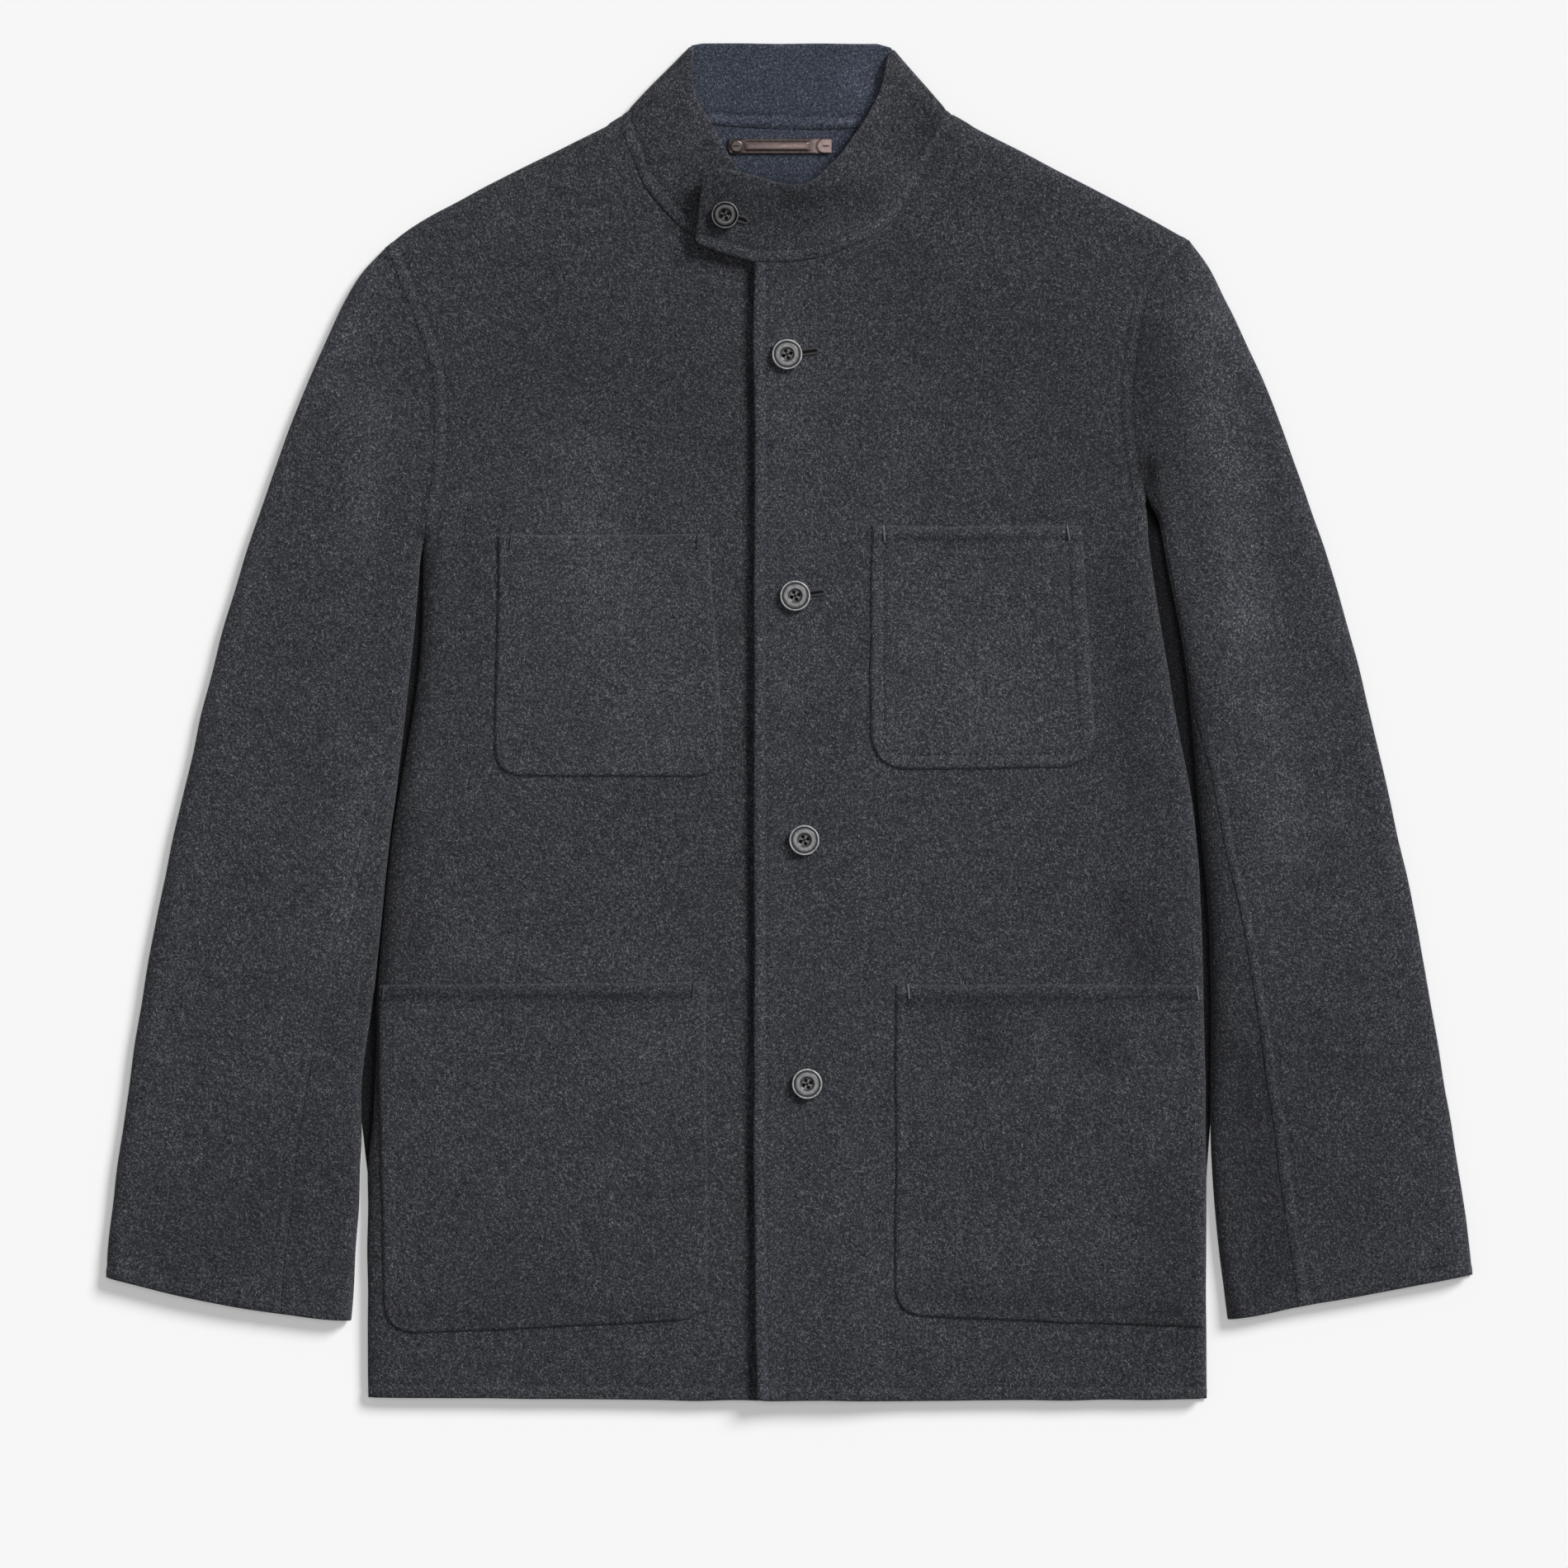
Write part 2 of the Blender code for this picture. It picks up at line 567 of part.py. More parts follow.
def pocket(name, halves, look, home):
    """Patch pocket made from the points of the front under it, moved out."""
    side, top_in, top_out, low_in, low_out, radius_in, radius_out = POCKETS[name]
    half = halves[side]
    depth = top_in[1] - low_in[1]
    width = low_out[0] - low_in[0]
    levels = [(share * (1.0 - radius_in / depth), 0.0) for share in POCKET_DOWN]
    for angle in CORNER_ANGLES:
        turn = math.radians(angle)
        levels.append((1.0 - radius_in / depth * (1.0 - math.sin(turn)), 1.0 - math.cos(turn)))
    rows = []
    for v, corner in levels:
        row = []
        for line in POCKET_ACROSS:
            u = (radius_in * corner + line * (width - (radius_in + radius_out) * corner)) / width
            upper = (1.0 - u) * np.array(top_in) + u * np.array(top_out)
            lower = (1.0 - u) * np.array(low_in) + u * np.array(low_out)
            place = (1.0 - v) * upper + v * lower
            place[0] = min(place[0], half.side_at(place[1]) - POCKET_EDGE_INSET * (2.0 - line))
            row.append(moved_out(half, place))
        rows.append(row)
    return cloth(name, rows, look, home)


def moved_out(half, place):
    """A point of the front's upper face, moved out along its normal by a gap and a wall."""
    height = half.front_height(place)
    across = half.front_height(place + np.array((SLOPE_STEP, 0.0)))
    upward = half.front_height(place + np.array((0.0, SLOPE_STEP)))
    normal = np.array(((height - across) / SLOPE_STEP, (height - upward) / SLOPE_STEP, 1.0))
    normal = normal / np.linalg.norm(normal) * (POCKET_GAP + CLOTH)
    return half.world(place + normal[:2], height + normal[2])


def button(name, height, tilt, look, home, cutters):
    """Turned four-hole button with a raised rim and a dished middle."""
    x, y, diameter = BUTTONS[name]
    mesh = bpy.data.meshes.new(name)
    radius = 0.5 * diameter * MM
    points = [(share * radius, 0.0, level * BUTTON_THICKNESS * MM) for share, level in BUTTON_PROFILE]
    mesh.from_pydata(points, [(index, index + 1) for index in range(len(points) - 1)], [])
    thing = bpy.data.objects.new(name, mesh)
    turned = thing.modifiers.new("turned", "SCREW")
    turned.steps = BUTTON_STEPS
    turned.render_steps = BUTTON_STEPS
    turned.use_merge_vertices = True
    turned.merge_threshold = MERGE
    turned.use_smooth_shade = True
    thing.location = (x * MM, y * MM, (height + BUTTON_LIFT) * MM)
    thing.rotation_euler.x = tilt
    thing.data.materials.append(material(name, look))
    home.objects.link(thing)
    for index in range(HOLE_COUNT):
        angle = math.radians(HOLE_TURN + 360.0 / HOLE_COUNT * index)
        drill = bmesh.new()
        bmesh.ops.create_cone(drill, cap_ends=True, segments=HOLE_SEGMENTS, radius1=HOLE_RADIUS * MM,
                              radius2=HOLE_RADIUS * MM, depth=DRILL_DEPTH * MM)
        hole_mesh = bpy.data.meshes.new("%s_hole_%d" % (name, index))
        drill.to_mesh(hole_mesh)
        drill.free()
        hole = bpy.data.objects.new(hole_mesh.name, hole_mesh)
        hole.parent = thing
        hole.location = (HOLE_CIRCLE * MM * math.cos(angle), HOLE_CIRCLE * MM * math.sin(angle), 0.0)
        hide_cutter(hole, cutters)
        cut = thing.modifiers.new(hole.name, "BOOLEAN")
        cut.operation = "DIFFERENCE"
        cut.object = hole
    return thing


def hide_cutter(thing, cutters):
    """Mark an object as a construction aid."""
    thing.hide_render = True
    thing.display_type = "WIRE"
    cutters.objects.link(thing)


def block(name, size, place, bevel):
    """Box of a size in millimetres with its base centred on a place."""
    shape = bmesh.new()
    bmesh.ops.create_cube(shape, size=1.0)
    bmesh.ops.scale(shape, vec=[length * MM for length in size], verts=shape.verts)
    bmesh.ops.bevel(shape, geom=shape.edges, offset=bevel * MM, segments=2, profile=0.5, affect="EDGES")
    mesh = bpy.data.meshes.new(name)
    shape.to_mesh(mesh)
    shape.free()
    thing = bpy.data.objects.new(name, mesh)
    thing.location = (place[0] * MM, place[1] * MM, (place[2] + 0.5 * size[2]) * MM)
    return thing


def disc(name, radius, thickness, place):
    """Upright disc with its base centred on a place."""
    shape = bmesh.new()
    bmesh.ops.create_cone(shape, cap_ends=True, segments=LOOP_END_SEGMENTS, radius1=radius * MM,
                          radius2=radius * MM, depth=thickness * MM)
    mesh = bpy.data.meshes.new(name)
    shape.to_mesh(mesh)
    shape.free()
    thing = bpy.data.objects.new(name, mesh)
    thing.location = (place[0] * MM, place[1] * MM, (place[2] + 0.5 * thickness) * MM)
    return thing


def hanger_loop(look, home, cutters):
    """Leather loop: a strip with a padded bar between two sewn ends."""
    base = CLOTH + SEAM
    strip = block("hanger_loop", (LOOP_LENGTH, LOOP_WIDTH, LOOP_THICKNESS), (LOOP_X, LOOP_Y, base),
                  LOOP_BEVEL)
    finish_object(strip, look, home)
    bar_size = (LOOP_BAR_LENGTH, LOOP_BAR_WIDTH, LOOP_THICKNESS + LOOP_BAR_RISE - SEAM)
    added = [block("loop_bar", bar_size, (LOOP_X + LOOP_BAR_SHIFT, LOOP_Y, base + SEAM), LOOP_BAR_BEVEL)]
    for index, way in enumerate((-1.0, 1.0)):
        place = (LOOP_X + way * 0.5 * LOOP_END_SPAN, LOOP_Y, base + SEAM)
        end_height = LOOP_THICKNESS + LOOP_END_RISE - SEAM
        added.append(disc("loop_end_%d" % index, LOOP_END_RADIUS, end_height, place))
    for piece in added:
        hide_cutter(piece, cutters)
        union = strip.modifiers.new(piece.name, "BOOLEAN")
        union.operation = "UNION"
        union.object = piece
    return strip


def tab_height_at(y):
    """Outer face of the collar tab, and its tilt, level with the collar button."""
    seam_y, free_y = TAB[-1][1], TAB[-1][3]
    slope = COLLAR_LEAN["left"] / (free_y - seam_y)
    return TOP + LAP + slope * (y - seam_y), math.atan(slope)


def build():
    """Make every piece of the jacket."""
    remove_all()
    home = bpy.data.collections.new("jacket")
    cutters = bpy.data.collections.new("jacket_cutters")
    bpy.context.scene.collection.children.link(home)
    bpy.context.scene.collection.children.link(cutters)
    halves = {side: Side(side) for side in SIGN}
    back(halves, WOOL, home)
    for half in halves.values():
        front(half, WOOL, home)
        sleeve(half, WOOL, home)
    collar(halves, WOOL, home)
    for name in POCKETS:
        pocket(name, halves, CHEST_WOOL if "chest" in name else WOOL, home)
    hanger_loop(LEATHER, home, cutters)
    for name, (x, y, _) in BUTTONS.items():
        if name == "button_collar":
            height, tilt = tab_height_at(y)
        else:
            height, tilt = halves["left"].front_height(np.array((x, y))), 0.0
        button(name, height, tilt, HORN, home, cutters)


build()
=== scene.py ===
"""Looks of a felted wool jacket laid flat: cloth shells, sewing, buttons, leather loop, light and camera.

Sizes are millimetres, and become metres when a mesh is made.
The jacket lies on its back, its collar points to +Y and the wearer's left is +X.
Side tables give (out, up): out counts away from the centre line, so both sides share functions.
"""
import math

import bpy
import numpy as np
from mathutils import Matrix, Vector


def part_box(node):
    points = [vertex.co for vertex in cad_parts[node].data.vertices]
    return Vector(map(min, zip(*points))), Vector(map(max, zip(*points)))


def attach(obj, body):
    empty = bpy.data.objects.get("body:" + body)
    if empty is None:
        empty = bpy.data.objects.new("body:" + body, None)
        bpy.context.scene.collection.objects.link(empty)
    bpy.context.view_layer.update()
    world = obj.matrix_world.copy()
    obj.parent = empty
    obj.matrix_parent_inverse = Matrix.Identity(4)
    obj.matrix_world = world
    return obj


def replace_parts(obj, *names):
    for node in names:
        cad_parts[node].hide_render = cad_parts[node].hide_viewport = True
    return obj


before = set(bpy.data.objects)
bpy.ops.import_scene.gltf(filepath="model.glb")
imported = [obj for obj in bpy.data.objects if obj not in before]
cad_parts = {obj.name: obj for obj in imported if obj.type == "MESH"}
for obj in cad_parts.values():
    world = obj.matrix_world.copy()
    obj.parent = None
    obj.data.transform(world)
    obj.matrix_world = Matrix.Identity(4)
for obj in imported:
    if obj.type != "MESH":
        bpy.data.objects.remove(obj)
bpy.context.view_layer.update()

MM = 0.001
SIGN = {"left": 1.0, "right": -1.0}

# Cloth and how its layers lie on each other
CLOTH = 2.4
SEAM = 0.3
AIR = 3.2
EDGE_ROUND = 12.0
SIDE_ROUND = {"left": 6.0, "right": 13.0}
INNER_ROUND = {"left": 10.0, "right": 5.0}
OUTER_ROUND = {"left": 12.0, "right": 8.0}
CUFF_LIFT, CUFF_LIFT_REACH = 1.0, 16.0
FOLD = 3.8
EDGE_DIP = 1.05
REST = CLOTH + SEAM + EDGE_DIP
TOP = 2.0 * CLOTH + AIR
LAP = CLOTH + 2.0 * SEAM
LAP_FLAT_TO = 24.0
LAP_GONE_AT = 80.0
LAP_EDGE_LIFT, LAP_EDGE_REACH = 1.9, 13.0
# Sewn edges run into each other by this much, so that a seam is a shallow groove
ARMHOLE_LAP = 0.7
# Painted shade along the armhole seam, and its width
ARMHOLE_PAINTED_SHADE, ARMHOLE_PAINTED_SHADE_WIDTH = -0.2, 1.8
SLEEVE_SEAM_LAP = {"left": 0.4, "right": 0.6}
# Painted shade along the sleeve seam, its width, and how it fades towards the cuff
SLEEVE_SEAM_PAINTED_SHADE = {"left": -0.27, "right": -0.12}
SLEEVE_SEAM_WIDTH = 2.2
SEAM_FADES_FROM, SEAM_FADE, SEAM_FADE_SPAN = 0.86, 0.75, 0.12
COLLAR_SEAM_LAP, COLLAR_FOLD_LAP = 0.5, 4.0
COLLAR_SEAM_LIFT = {"left": 0.3, "right": 0.8}
# Painted shadow along the collar's seam, its width, and the share along the collar from which it shows
COLLAR_SEAM_PAINTED_SHADOW, COLLAR_SEAM_PAINTED_SHADOW_WIDTH = -0.62, 1.3
COLLAR_SEAM_DARK_FROM, COLLAR_SEAM_DARK_BY = 0.62, 0.05
# Small steps and counts for reading a curve
SPAN, TINY = 0.01, 1e-9
GAP_STEPS, HEAD_POINTS = 8, 90

# Outlines seen from above, each a smooth curve through a few (out, up) points
NECK = {
    "left": ((-19.9, 267.4), (3.1, 267.8), (26.2, 272.6), (49.2, 283.2), (64.6, 297.1),
             (82.8, 329.3), (94.9, 353.6)),
    "right": ((-20.9, 268.3), (12.7, 269.3), (39.1, 274.6), (57.8, 283.2), (79.4, 304.8),
              (88.6, 320.2), (98.2, 352.6)),
}
SHOULDER = {
    "left": ((94.9, 353.6), (103.4, 348.7), (112.6, 343.2), (186.5, 304.8), (232.6, 280.2)),
    "right": ((98.2, 352.6), (105.2, 348.2), (113, 343.2), (207.1, 295.2), (235.4, 276)),
}
ARMHOLE = {
    "left": ((232.6, 280.2), (219.4, 265), (209.8, 251), (205.6, 237), (199.8, 190), (202.2, 158),
             (206.6, 134)),
    "right": ((235.4, 276), (218.2, 234.2), (208.4, 203), (206.6, 175), (208, 147), (211.2, 122),
              (213, 105.6)),
}
BODY_SIDE = {
    "left": ((206.6, 134), (208.2, 116), (210.4, 92), (225.5, 0), (235, -49), (239, -98),
             (241.9, -204), (242.6, -393.4)),
    "right": ((213, 105.6), (213.2, 84), (214.2, 50), (218, 12), (230.2, -60), (239.7, -151.2),
              (240.2, -180), (240.9, -208), (242.6, -232), (245, -262), (245.3, -330), (244.6, -392.5)),
}
HEM = {
    "left": ((-19, -394.4), (60, -394.4), (180, -394.2), (242.6, -393.4)),
    "right": ((-20.9, -394.8), (110, -394), (244.6, -392.5)),
}
CENTRE_EDGE = {
    "left": ((-19.9, 267.4), (-21.2, 220), (-20.3, 150), (-20.5, 84), (-20.9, -30), (-20.6, -150),
             (-21, -260), (-20.3, -330), (-19, -394.6)),
    "right": ((-20.9, 268.3), (-20.9, -394.8)),
}
SLEEVE_OUTER = {
    "left": ((243, 265.2), (252.6, 247.4), (262.2, 228), (286.7, 170.4), (319.4, 74.4), (343.9, -21.6),
             (369.4, -141.6), (392.9, -285.6), (397.2, -321.6)),
    "right": ((248, 262), (257.4, 247), (266.6, 228), (290.6, 170.4), (323.3, 74.4), (347.8, -21.6),
              (373.2, -141.6), (394.3, -285.6), (397.2, -322.6)),
}
SLEEVE_INNER = {
    "left": ((210, 126), (214.8, 116), (219, 94), (230.2, 33.1), (237.4, -41.8), (243.1, -106.6),
             (245, -160), (245.3, -255), (254.6, -347.2)),
    "right": ((214.6, 92), (216.2, 72), (222.4, 12), (231, -60), (241.2, -152.6), (248, -205),
              (248.9, -250), (250.8, -287), (254.6, -348.3)),
}
CUFF = {
    "left": ((254.6, -347.2), (325.2, -334.6), (397.2, -321.6)),
    "right": ((254.6, -348.3), (302, -343), (350, -334.6), (397.2, -322.6)),
}
BACK_NECK = ((94.9, 353.6), (41.5, 345.6), (-1.7, 344.6), (-45.4, 347.5), (-98.2, 352.6))
# Slit between body and sleeve, where the back shows, and the painted shade on the cloth in it and beside it
SLIT_CLOSED_ABOVE = {"left": -224.0, "right": -226.0}
SLIT_POINT = 34.0
SLIT_INSET = -1.2
SLIT_PAINTED_SHADE = -0.8
SLIT_STARTS_AT = 6
PAST_SIDE_INSET, PAST_SIDE_FADE = 4.0, 3.0
SIDE_SHADE, SIDE_SHADE_WIDTH, SIDE_SHADE_FOOT, SIDE_SHADE_FADE = 0.5, 7.0, -360.0, 150.0
SLEEVE_SHADE, SLEEVE_SHADE_WIDTH = 0.45, 9.0
SLIT_SHADE_FROM, SLIT_SHADE_TO, SLIT_SHADE_FADE = 0.3, 0.85, 0.15
# Fronts: where the neck and the armhole end along the edge, corner radii, and the size that sets the grid
NECK_SHARE = 0.42
ARMHOLE_SHARE = 0.25
HEM_CORNER = {"left": (4.5, 4.0), "right": (2.0, 3.0)}
BODY_WIDTH, BODY_HEIGHT = 262.0, 745.0
TIP_CORNER = 1.4

# Sleeve: share of its width, from the inner fold, at which the seam of its two halves runs: (along, share)
SLEEVE_SEAM = ((0, 0.012), (0.42, 0.012), (0.50, 0.09), (0.59, 0.127), (0.68, 0.193), (0.76, 0.24),
               (0.85, 0.28), (1, 0.29))
SLEEVE_LENGTH, SLEEVE_WIDTH = 620.0, 145.0
ROW_CROWDING = 1.5
FOLD_REACH = 40.0
FOLD_SETTLES_BY = 0.2
SEAM_SHOWS_BY = 0.12
FOLD_SPAN = 0.02
WRAP_FULL = 0.05
SEAM_SHOWS_FROM = 0.42
UNDER_FLAT_STEP = 9.0
UNDER_FLAT_FROM = 0.05
FOLD_TURNS = 9

# Soft ridges (height over 0) and troughs in the upper cloth: (x0, y0, x1, y1, half_width, height)
RELIEF = (
    (237, 252, 285, -60, 22, 0.7),
    (213, 228, 215, 108, 9, -1.1),
    (203, -36, 213, -146, 16, -0.9),
    (-248, 180, -256, 110, 16, 0.6),
    (-248, -40, -266, -110, 18, 0.7),
    (-110, 80, -104, 10, 30, 0.6),
)
# Smaller creases that only the fine cloth has, in the same columns
CREASES = (
    (242, 240, 268, 60, 15, 1),
    (268, 60, 288, -70, 13, 0.8),
    (222, 190, 232, 70, 10, -0.9),
    (262, -20, 306, -34, 7, -0.75),
    (262, -52, 318, -66, 6, 0.75),
    (274, -92, 322, -104, 8, -0.75),
    (290, -160, 330, -166, 9, 0.6),
    (318, 20, 330, -60, 12, -0.5),
    (-246, 40, -300, 28, 8, -0.75),
    (-240, -14, -292, -30, 6, 0.75),
    (-244, -40, -300, -54, 5, -0.7),
    (-250, -72, -304, -84, 6, 0.75),
    (-256, -100, -300, -116, 6, -0.75),
    (-262, -134, -312, -150, 7, 0.7),
    (-262, -176, -306, -196, 9, -0.6),
    (-236, 150, -246, 60, 9, -0.8),
    (-290, 120, -312, 40, 14, -0.5),
    (184, 96, 196, -40, 12, -0.8),
    (206, -90, 206, -150, 10, -0.7),
    (160, 150, 190, 60, 18, 0.5),
    (-190, 90, -214, -60, 12, -0.6),
    (-222, -70, -222, -148, 10, -0.8),
    (-120, 210, -180, 130, 26, -0.5),
    (60, 240, 150, 180, 24, -0.4),
    (-40, -90, -60, -140, 22, 0.4),
    (104, -178, 112, -192, 14, -0.9),
    (170, -180, 182, -196, 13, -0.9),
    (140, -182, 142, -210, 12, 0.5),
    (216, -240, 222, -320, 12, -0.7),
    (-80, -200, -60, -176, 16, 0.6),
    (-190, -320, -130, -330, 18, -0.5),
    (120, -326, 200, -332, 10, -0.5),
)
# Painted light and shade in the cloth's colour, partly its nap: lighter (tone over 0) or darker: (x0, y0, x1,
# y1, half_width, tone)
PAINTED_SHADING_AND_NAP = (
    (240, 240, 262, 60, 17, 0.42),
    (262, 60, 286, -72, 16, 0.36),
    (207.5, 226, 209, 146, 9.5, -0.34),
    (210.5, 150, 214, 118, 5, -0.45),
    (-22.8, 262, -22.8, -392, 1.9, -0.5),
    (190, 90, 200, -60, 15, -0.2),
    (194, -104, 206, -142, 15, -0.36),
    (262, -190, 280, -330, 14, -0.18),
    (300, -200, 330, -320, 40, -0.13),
    (-246, 186, -250, 120, 18, 0.24),
    (-242, 262, -262, 222, 13, 0.2),
    (-260, 230, -276, 196, 14, 0.16),
    (-282, 200, -338, 14, 10, 0.14),
    (-246, -30, -262, -130, 16, 0.22),
    (-300, -270, -340, -320, 46, -0.17),
    (-222, -60, -226, -148, 12, -0.18),
    (-120, 148, -114, 92, 23, 0.24),
    (-108, 60, -76, 0, 32, 0.1),
    (-150, 220, -70, 206, 46, -0.11),
    (96, 50, 130, 0, 40, 0.13),
    (4, 240, 8, 20, 20, 0.15),
    (60, 250, 160, 200, 40, -0.12),
    (108, -180, 112, -190, 13, -0.24),
    (172, -184, 182, -194, 12, -0.24),
    (212, -270, 222, -320, 18, -0.2),
    (96, -334, 232, -344, 10, -0.2),
    (-184, -316, -132, -318, 30, -0.1),
    (-226, -342, -70, -346, 9, -0.15),
    (-80, -196, -64, -180, 20, 0.2),
    (-230, -376, 230, -376, 14, -0.1),
    (214, -357, 230, -362, 17, -0.18),
    (-234, -157.6, -60, -160.6, 4.2, -0.3),
    (68, -163.4, 232, -160, 4.6, -0.28),
    (-186, -132, -66, -141, 9, 0.14),
    (54, 105.4, 120, 106, 4, -0.3),
    (84, 362, 78, 330, 13, -0.28),
    (-40, 306, -8, 300, 16, -0.26),
    (4, 303, 46, 306, 10, -0.3),
    (0, 275, 50, 287, 4.6, 0.2),
    (52, 289, 80, 334, 4.6, 0.22),
    (41, 374, 47, 364, 13, 0.36),
    (-47, 314, -46, 286, 9, -0.12),
    (-44, 347.4, 40, 345.4, 2, -0.4),
)
RIPPLE_HEIGHT, RIPPLE_ACROSS, RIPPLE_UP = 0.16, 46.0, 15.0
SECOND_RIPPLE, SECOND_RIPPLE_SHIFT = 0.6, 9.0
WOBBLE, WOBBLE_LENGTH, WOBBLE_SHIFTS = 0.45, 24.0, (3.0, 5.0)
# Random heights that the uneven waves are read from, where the reading starts, and how a shift moves it up
LATTICE_SIZE, LATTICE_SEED = 97, 11
LATTICE = np.random.default_rng(LATTICE_SEED).uniform(-1.0, 1.0, (LATTICE_SIZE, LATTICE_SIZE))
LATTICE_START, LATTICE_SHIFT_UP = (41.3, 67.7), 2.7

# Sewing: distance inside an edge, depth and width of the sewn trough, and the swell beside it
SEWN_INSET, SEWN_DEPTH, SEWN_WIDTH = 7.7, 0.5, 1.2
SWELL_HEIGHT, SWELL_WIDTH = 0.32, 2.6
DEPTHS = {"hem": 0.4, "edge": 0.3, "cuff": 0.35, "sleeve": 0.45, "collar": 0.45, "tab": 0.3, "inside": 0.5,
          "pocket": 0.4}
# Painted light on the swell beside a sewn line and painted shade in the line: its default, the line's share,
# and by kind of edge
BAND_TONE, LINE_SHARE = 0.16, 0.6
BAND_TONES = {"edge": 0.22, "collar": 0.26, "pocket": 0.16, "mouth": 0.14}
# Painted light on the ridge beside the sleeve seam, and the share of the seam's painted shade on the under
# sleeve's strip
SLEEVE_BAND_PAINTED_LIGHT, SLEEVE_BAND_AT, SLEEVE_BAND_WIDTH = 0.08, 5.0, 4.0
UNDER_PAINTED_SHADE_SHARE = 0.4
# Painted light along the collar's rolled free edge
FREE_EDGE_PAINTED_LIGHT = 0.14
# Stitches: points along one as (share of the length, rise in radii, share of the radius), and then
# (length, radius, sink) of each kind
STITCH_PITCH = 4.1
STITCH_FORM = ((-0.5, -1.2, 0.5), (-0.25, -0.2, 0.9), (0.0, 0.2, 1.0), (0.25, -0.2, 0.9), (0.5, -1.2, 0.5))
PICK_STITCH, FINE_STITCH, COLLAR_STITCH = (1.7, 0.36, 0.35), (1.3, 0.22, 0.5), (1.3, 0.22, 0.35)
FINE_LINE = (0.03, 0.97, 120)
COLLAR_STITCHED_TO, COLLAR_STITCH_POINTS = 0.36, 180
ROUND_SIDES = 8

# Grid lines close to an edge, in millimetres from it
EDGE_LINES = np.array((0.0, 0.12, 0.35, 0.7, 1.2, 1.9, 2.8, 3.9, 5.0, 6.0, 6.8, 7.5, 8.2, 9.0, 10.0, 11.5,
                       13.5))
CLOTH_STEP = 3.3
BACK_STEP = 6.5
POCKET_STEP = 2.6
COLLAR_STEP = 1.1
COLLAR_STEP_ACROSS = 2.0

# Collar: seam end and free end of its sections, as (seam_x, seam_y, free_x, free_y)
TAB = ((-55.0, 277.9, -51.1, 317.8), (-37.6, 272.4, -39.6, 321.6))
TAB_CORNER = 3.5
TAB_LIFT, TAB_LIFT_REACH = 4.8, 60.0
TAB_BUTTON = (15.8, 22.7)
COLLAR_EDGE = {
    "left": ((-19.9, 317.2), (-3.0, 312.6), (11.0, 312.8), (22.6, 322.2), (34.3, 336.0), (51.1, 363.8),
             (57.3, 388.3)),
    "right": ((3.1, 310.6), (19.9, 315.4), (30.5, 323.0), (45.6, 349.0), (55.0, 366.2), (57.0, 390.4)),
}
COLLAR_FOLD = {"left": (94.1, 352.9, 60.7, 391.5), "right": (-97.8, 352.0, -58.1, 392.9)}
COLLAR_TIPS = {"left": (59.4, 392.4), "right": (-57.4, 393.4)}
COLLAR_TOP_EDGE = 394.6
COLLAR_TOP_HALF = 51.0
COLLAR_BACK_LINES = (0.12, 0.3, 0.5, 0.7, 0.88)
COLLAR_LEAN = {"left": 6.5, "right": 4.5}
COLLAR_FOLD_LEAN = 0.5
COLLAR_FOLD_HEIGHT = 5.4
COLLAR_WIDTH = 49.0
COLLAR_BULGE = 1.3
COLLAR_TURN_STEPS = 24
COLLAR_SECTIONS = {"left": 60, "right": 50}
COLLAR_FRONT_END = 0.97
LEAN_KEPT_TO = 0.3
FOLD_LAP_FROM = 0.8
UNDERLAP_END = 0.2

# Patch pockets: side, upper corners and lower corners as (out, up), then the radius of each lower corner
POCKETS = {
    "pocket_chest_left": ("left", (47.3, 114.2), (170.2, 114.2), (46.3, -27.8), (178.8, -26.9), 23, 22),
    "pocket_chest_right": ("right", (46.3, 109.9), (169.7, 109), (36.7, -32.2), (172.6, -32.2), 18, 18),
    "pocket_hip_left": ("left", (61.2, -152.2), (241, -152.2), (61.2, -345.6), (243, -352.8), 17, 4),
    "pocket_hip_right": ("right", (47.8, -150.7), (240, -152.6), (47.3, -348), (236, -356.6), 18, 20),
}
POCKET_GAP = -0.9
POCKET_EDGE_INSET = 1.6
POCKET_MOUTH_LIFT, POCKET_MOUTH_REACH = 0.35, 10.0
MOUTH_SINK, MOUTH_SINK_REACH = 0.75, 5.0
POCKET_EDGE_REACH = 2.2
POCKET_FADE_FROM, POCKET_FADE = 0.5, 0.4
# How each pocket shows: tone, painted light on the chest pockets, share of its height left at its edges,
# strength of its pick stitching and of its mouth, and how much its edge sinks away towards the body's side
POCKET_LOOK = {
    "pocket_chest_left": (0.11, 0.55, 0.8, 0.9, 0.0),
    "pocket_chest_right": (0.10, 0.15, 0.3, 0.1, 0.0),
    "pocket_hip_left": (0.0, 0.4, 0.3, 0.6, 0.9),
    "pocket_hip_right": (0.0, 0.3, 0.2, 0.6, 0.0),
}
SLOPE_STEP = 0.2
PICK_INSET, PICK_CORNER, PICK_CUT, PICK_POINTS = 8.8, 8.0, 2.4, 160
MOUTH_DEPTH, MOUTH_WIDTH = 0.75, 1.8
MOUTH_CORNER_OUT, MOUTH_CORNER_REACH = 3.4, 7.0
TACK_INSET, TACK_INSET_HIP, TACK_INSET_CHEST = 7.5, 4.5, 9.3
TACK_START, TACK_LENGTH, TACK_RADIUS, TACK_POINTS = 0.6, 8.8, 0.52, 26
TACK_LEAN, TACK_RISE, TACK_BUMP = 0.12, 0.25, 0.18

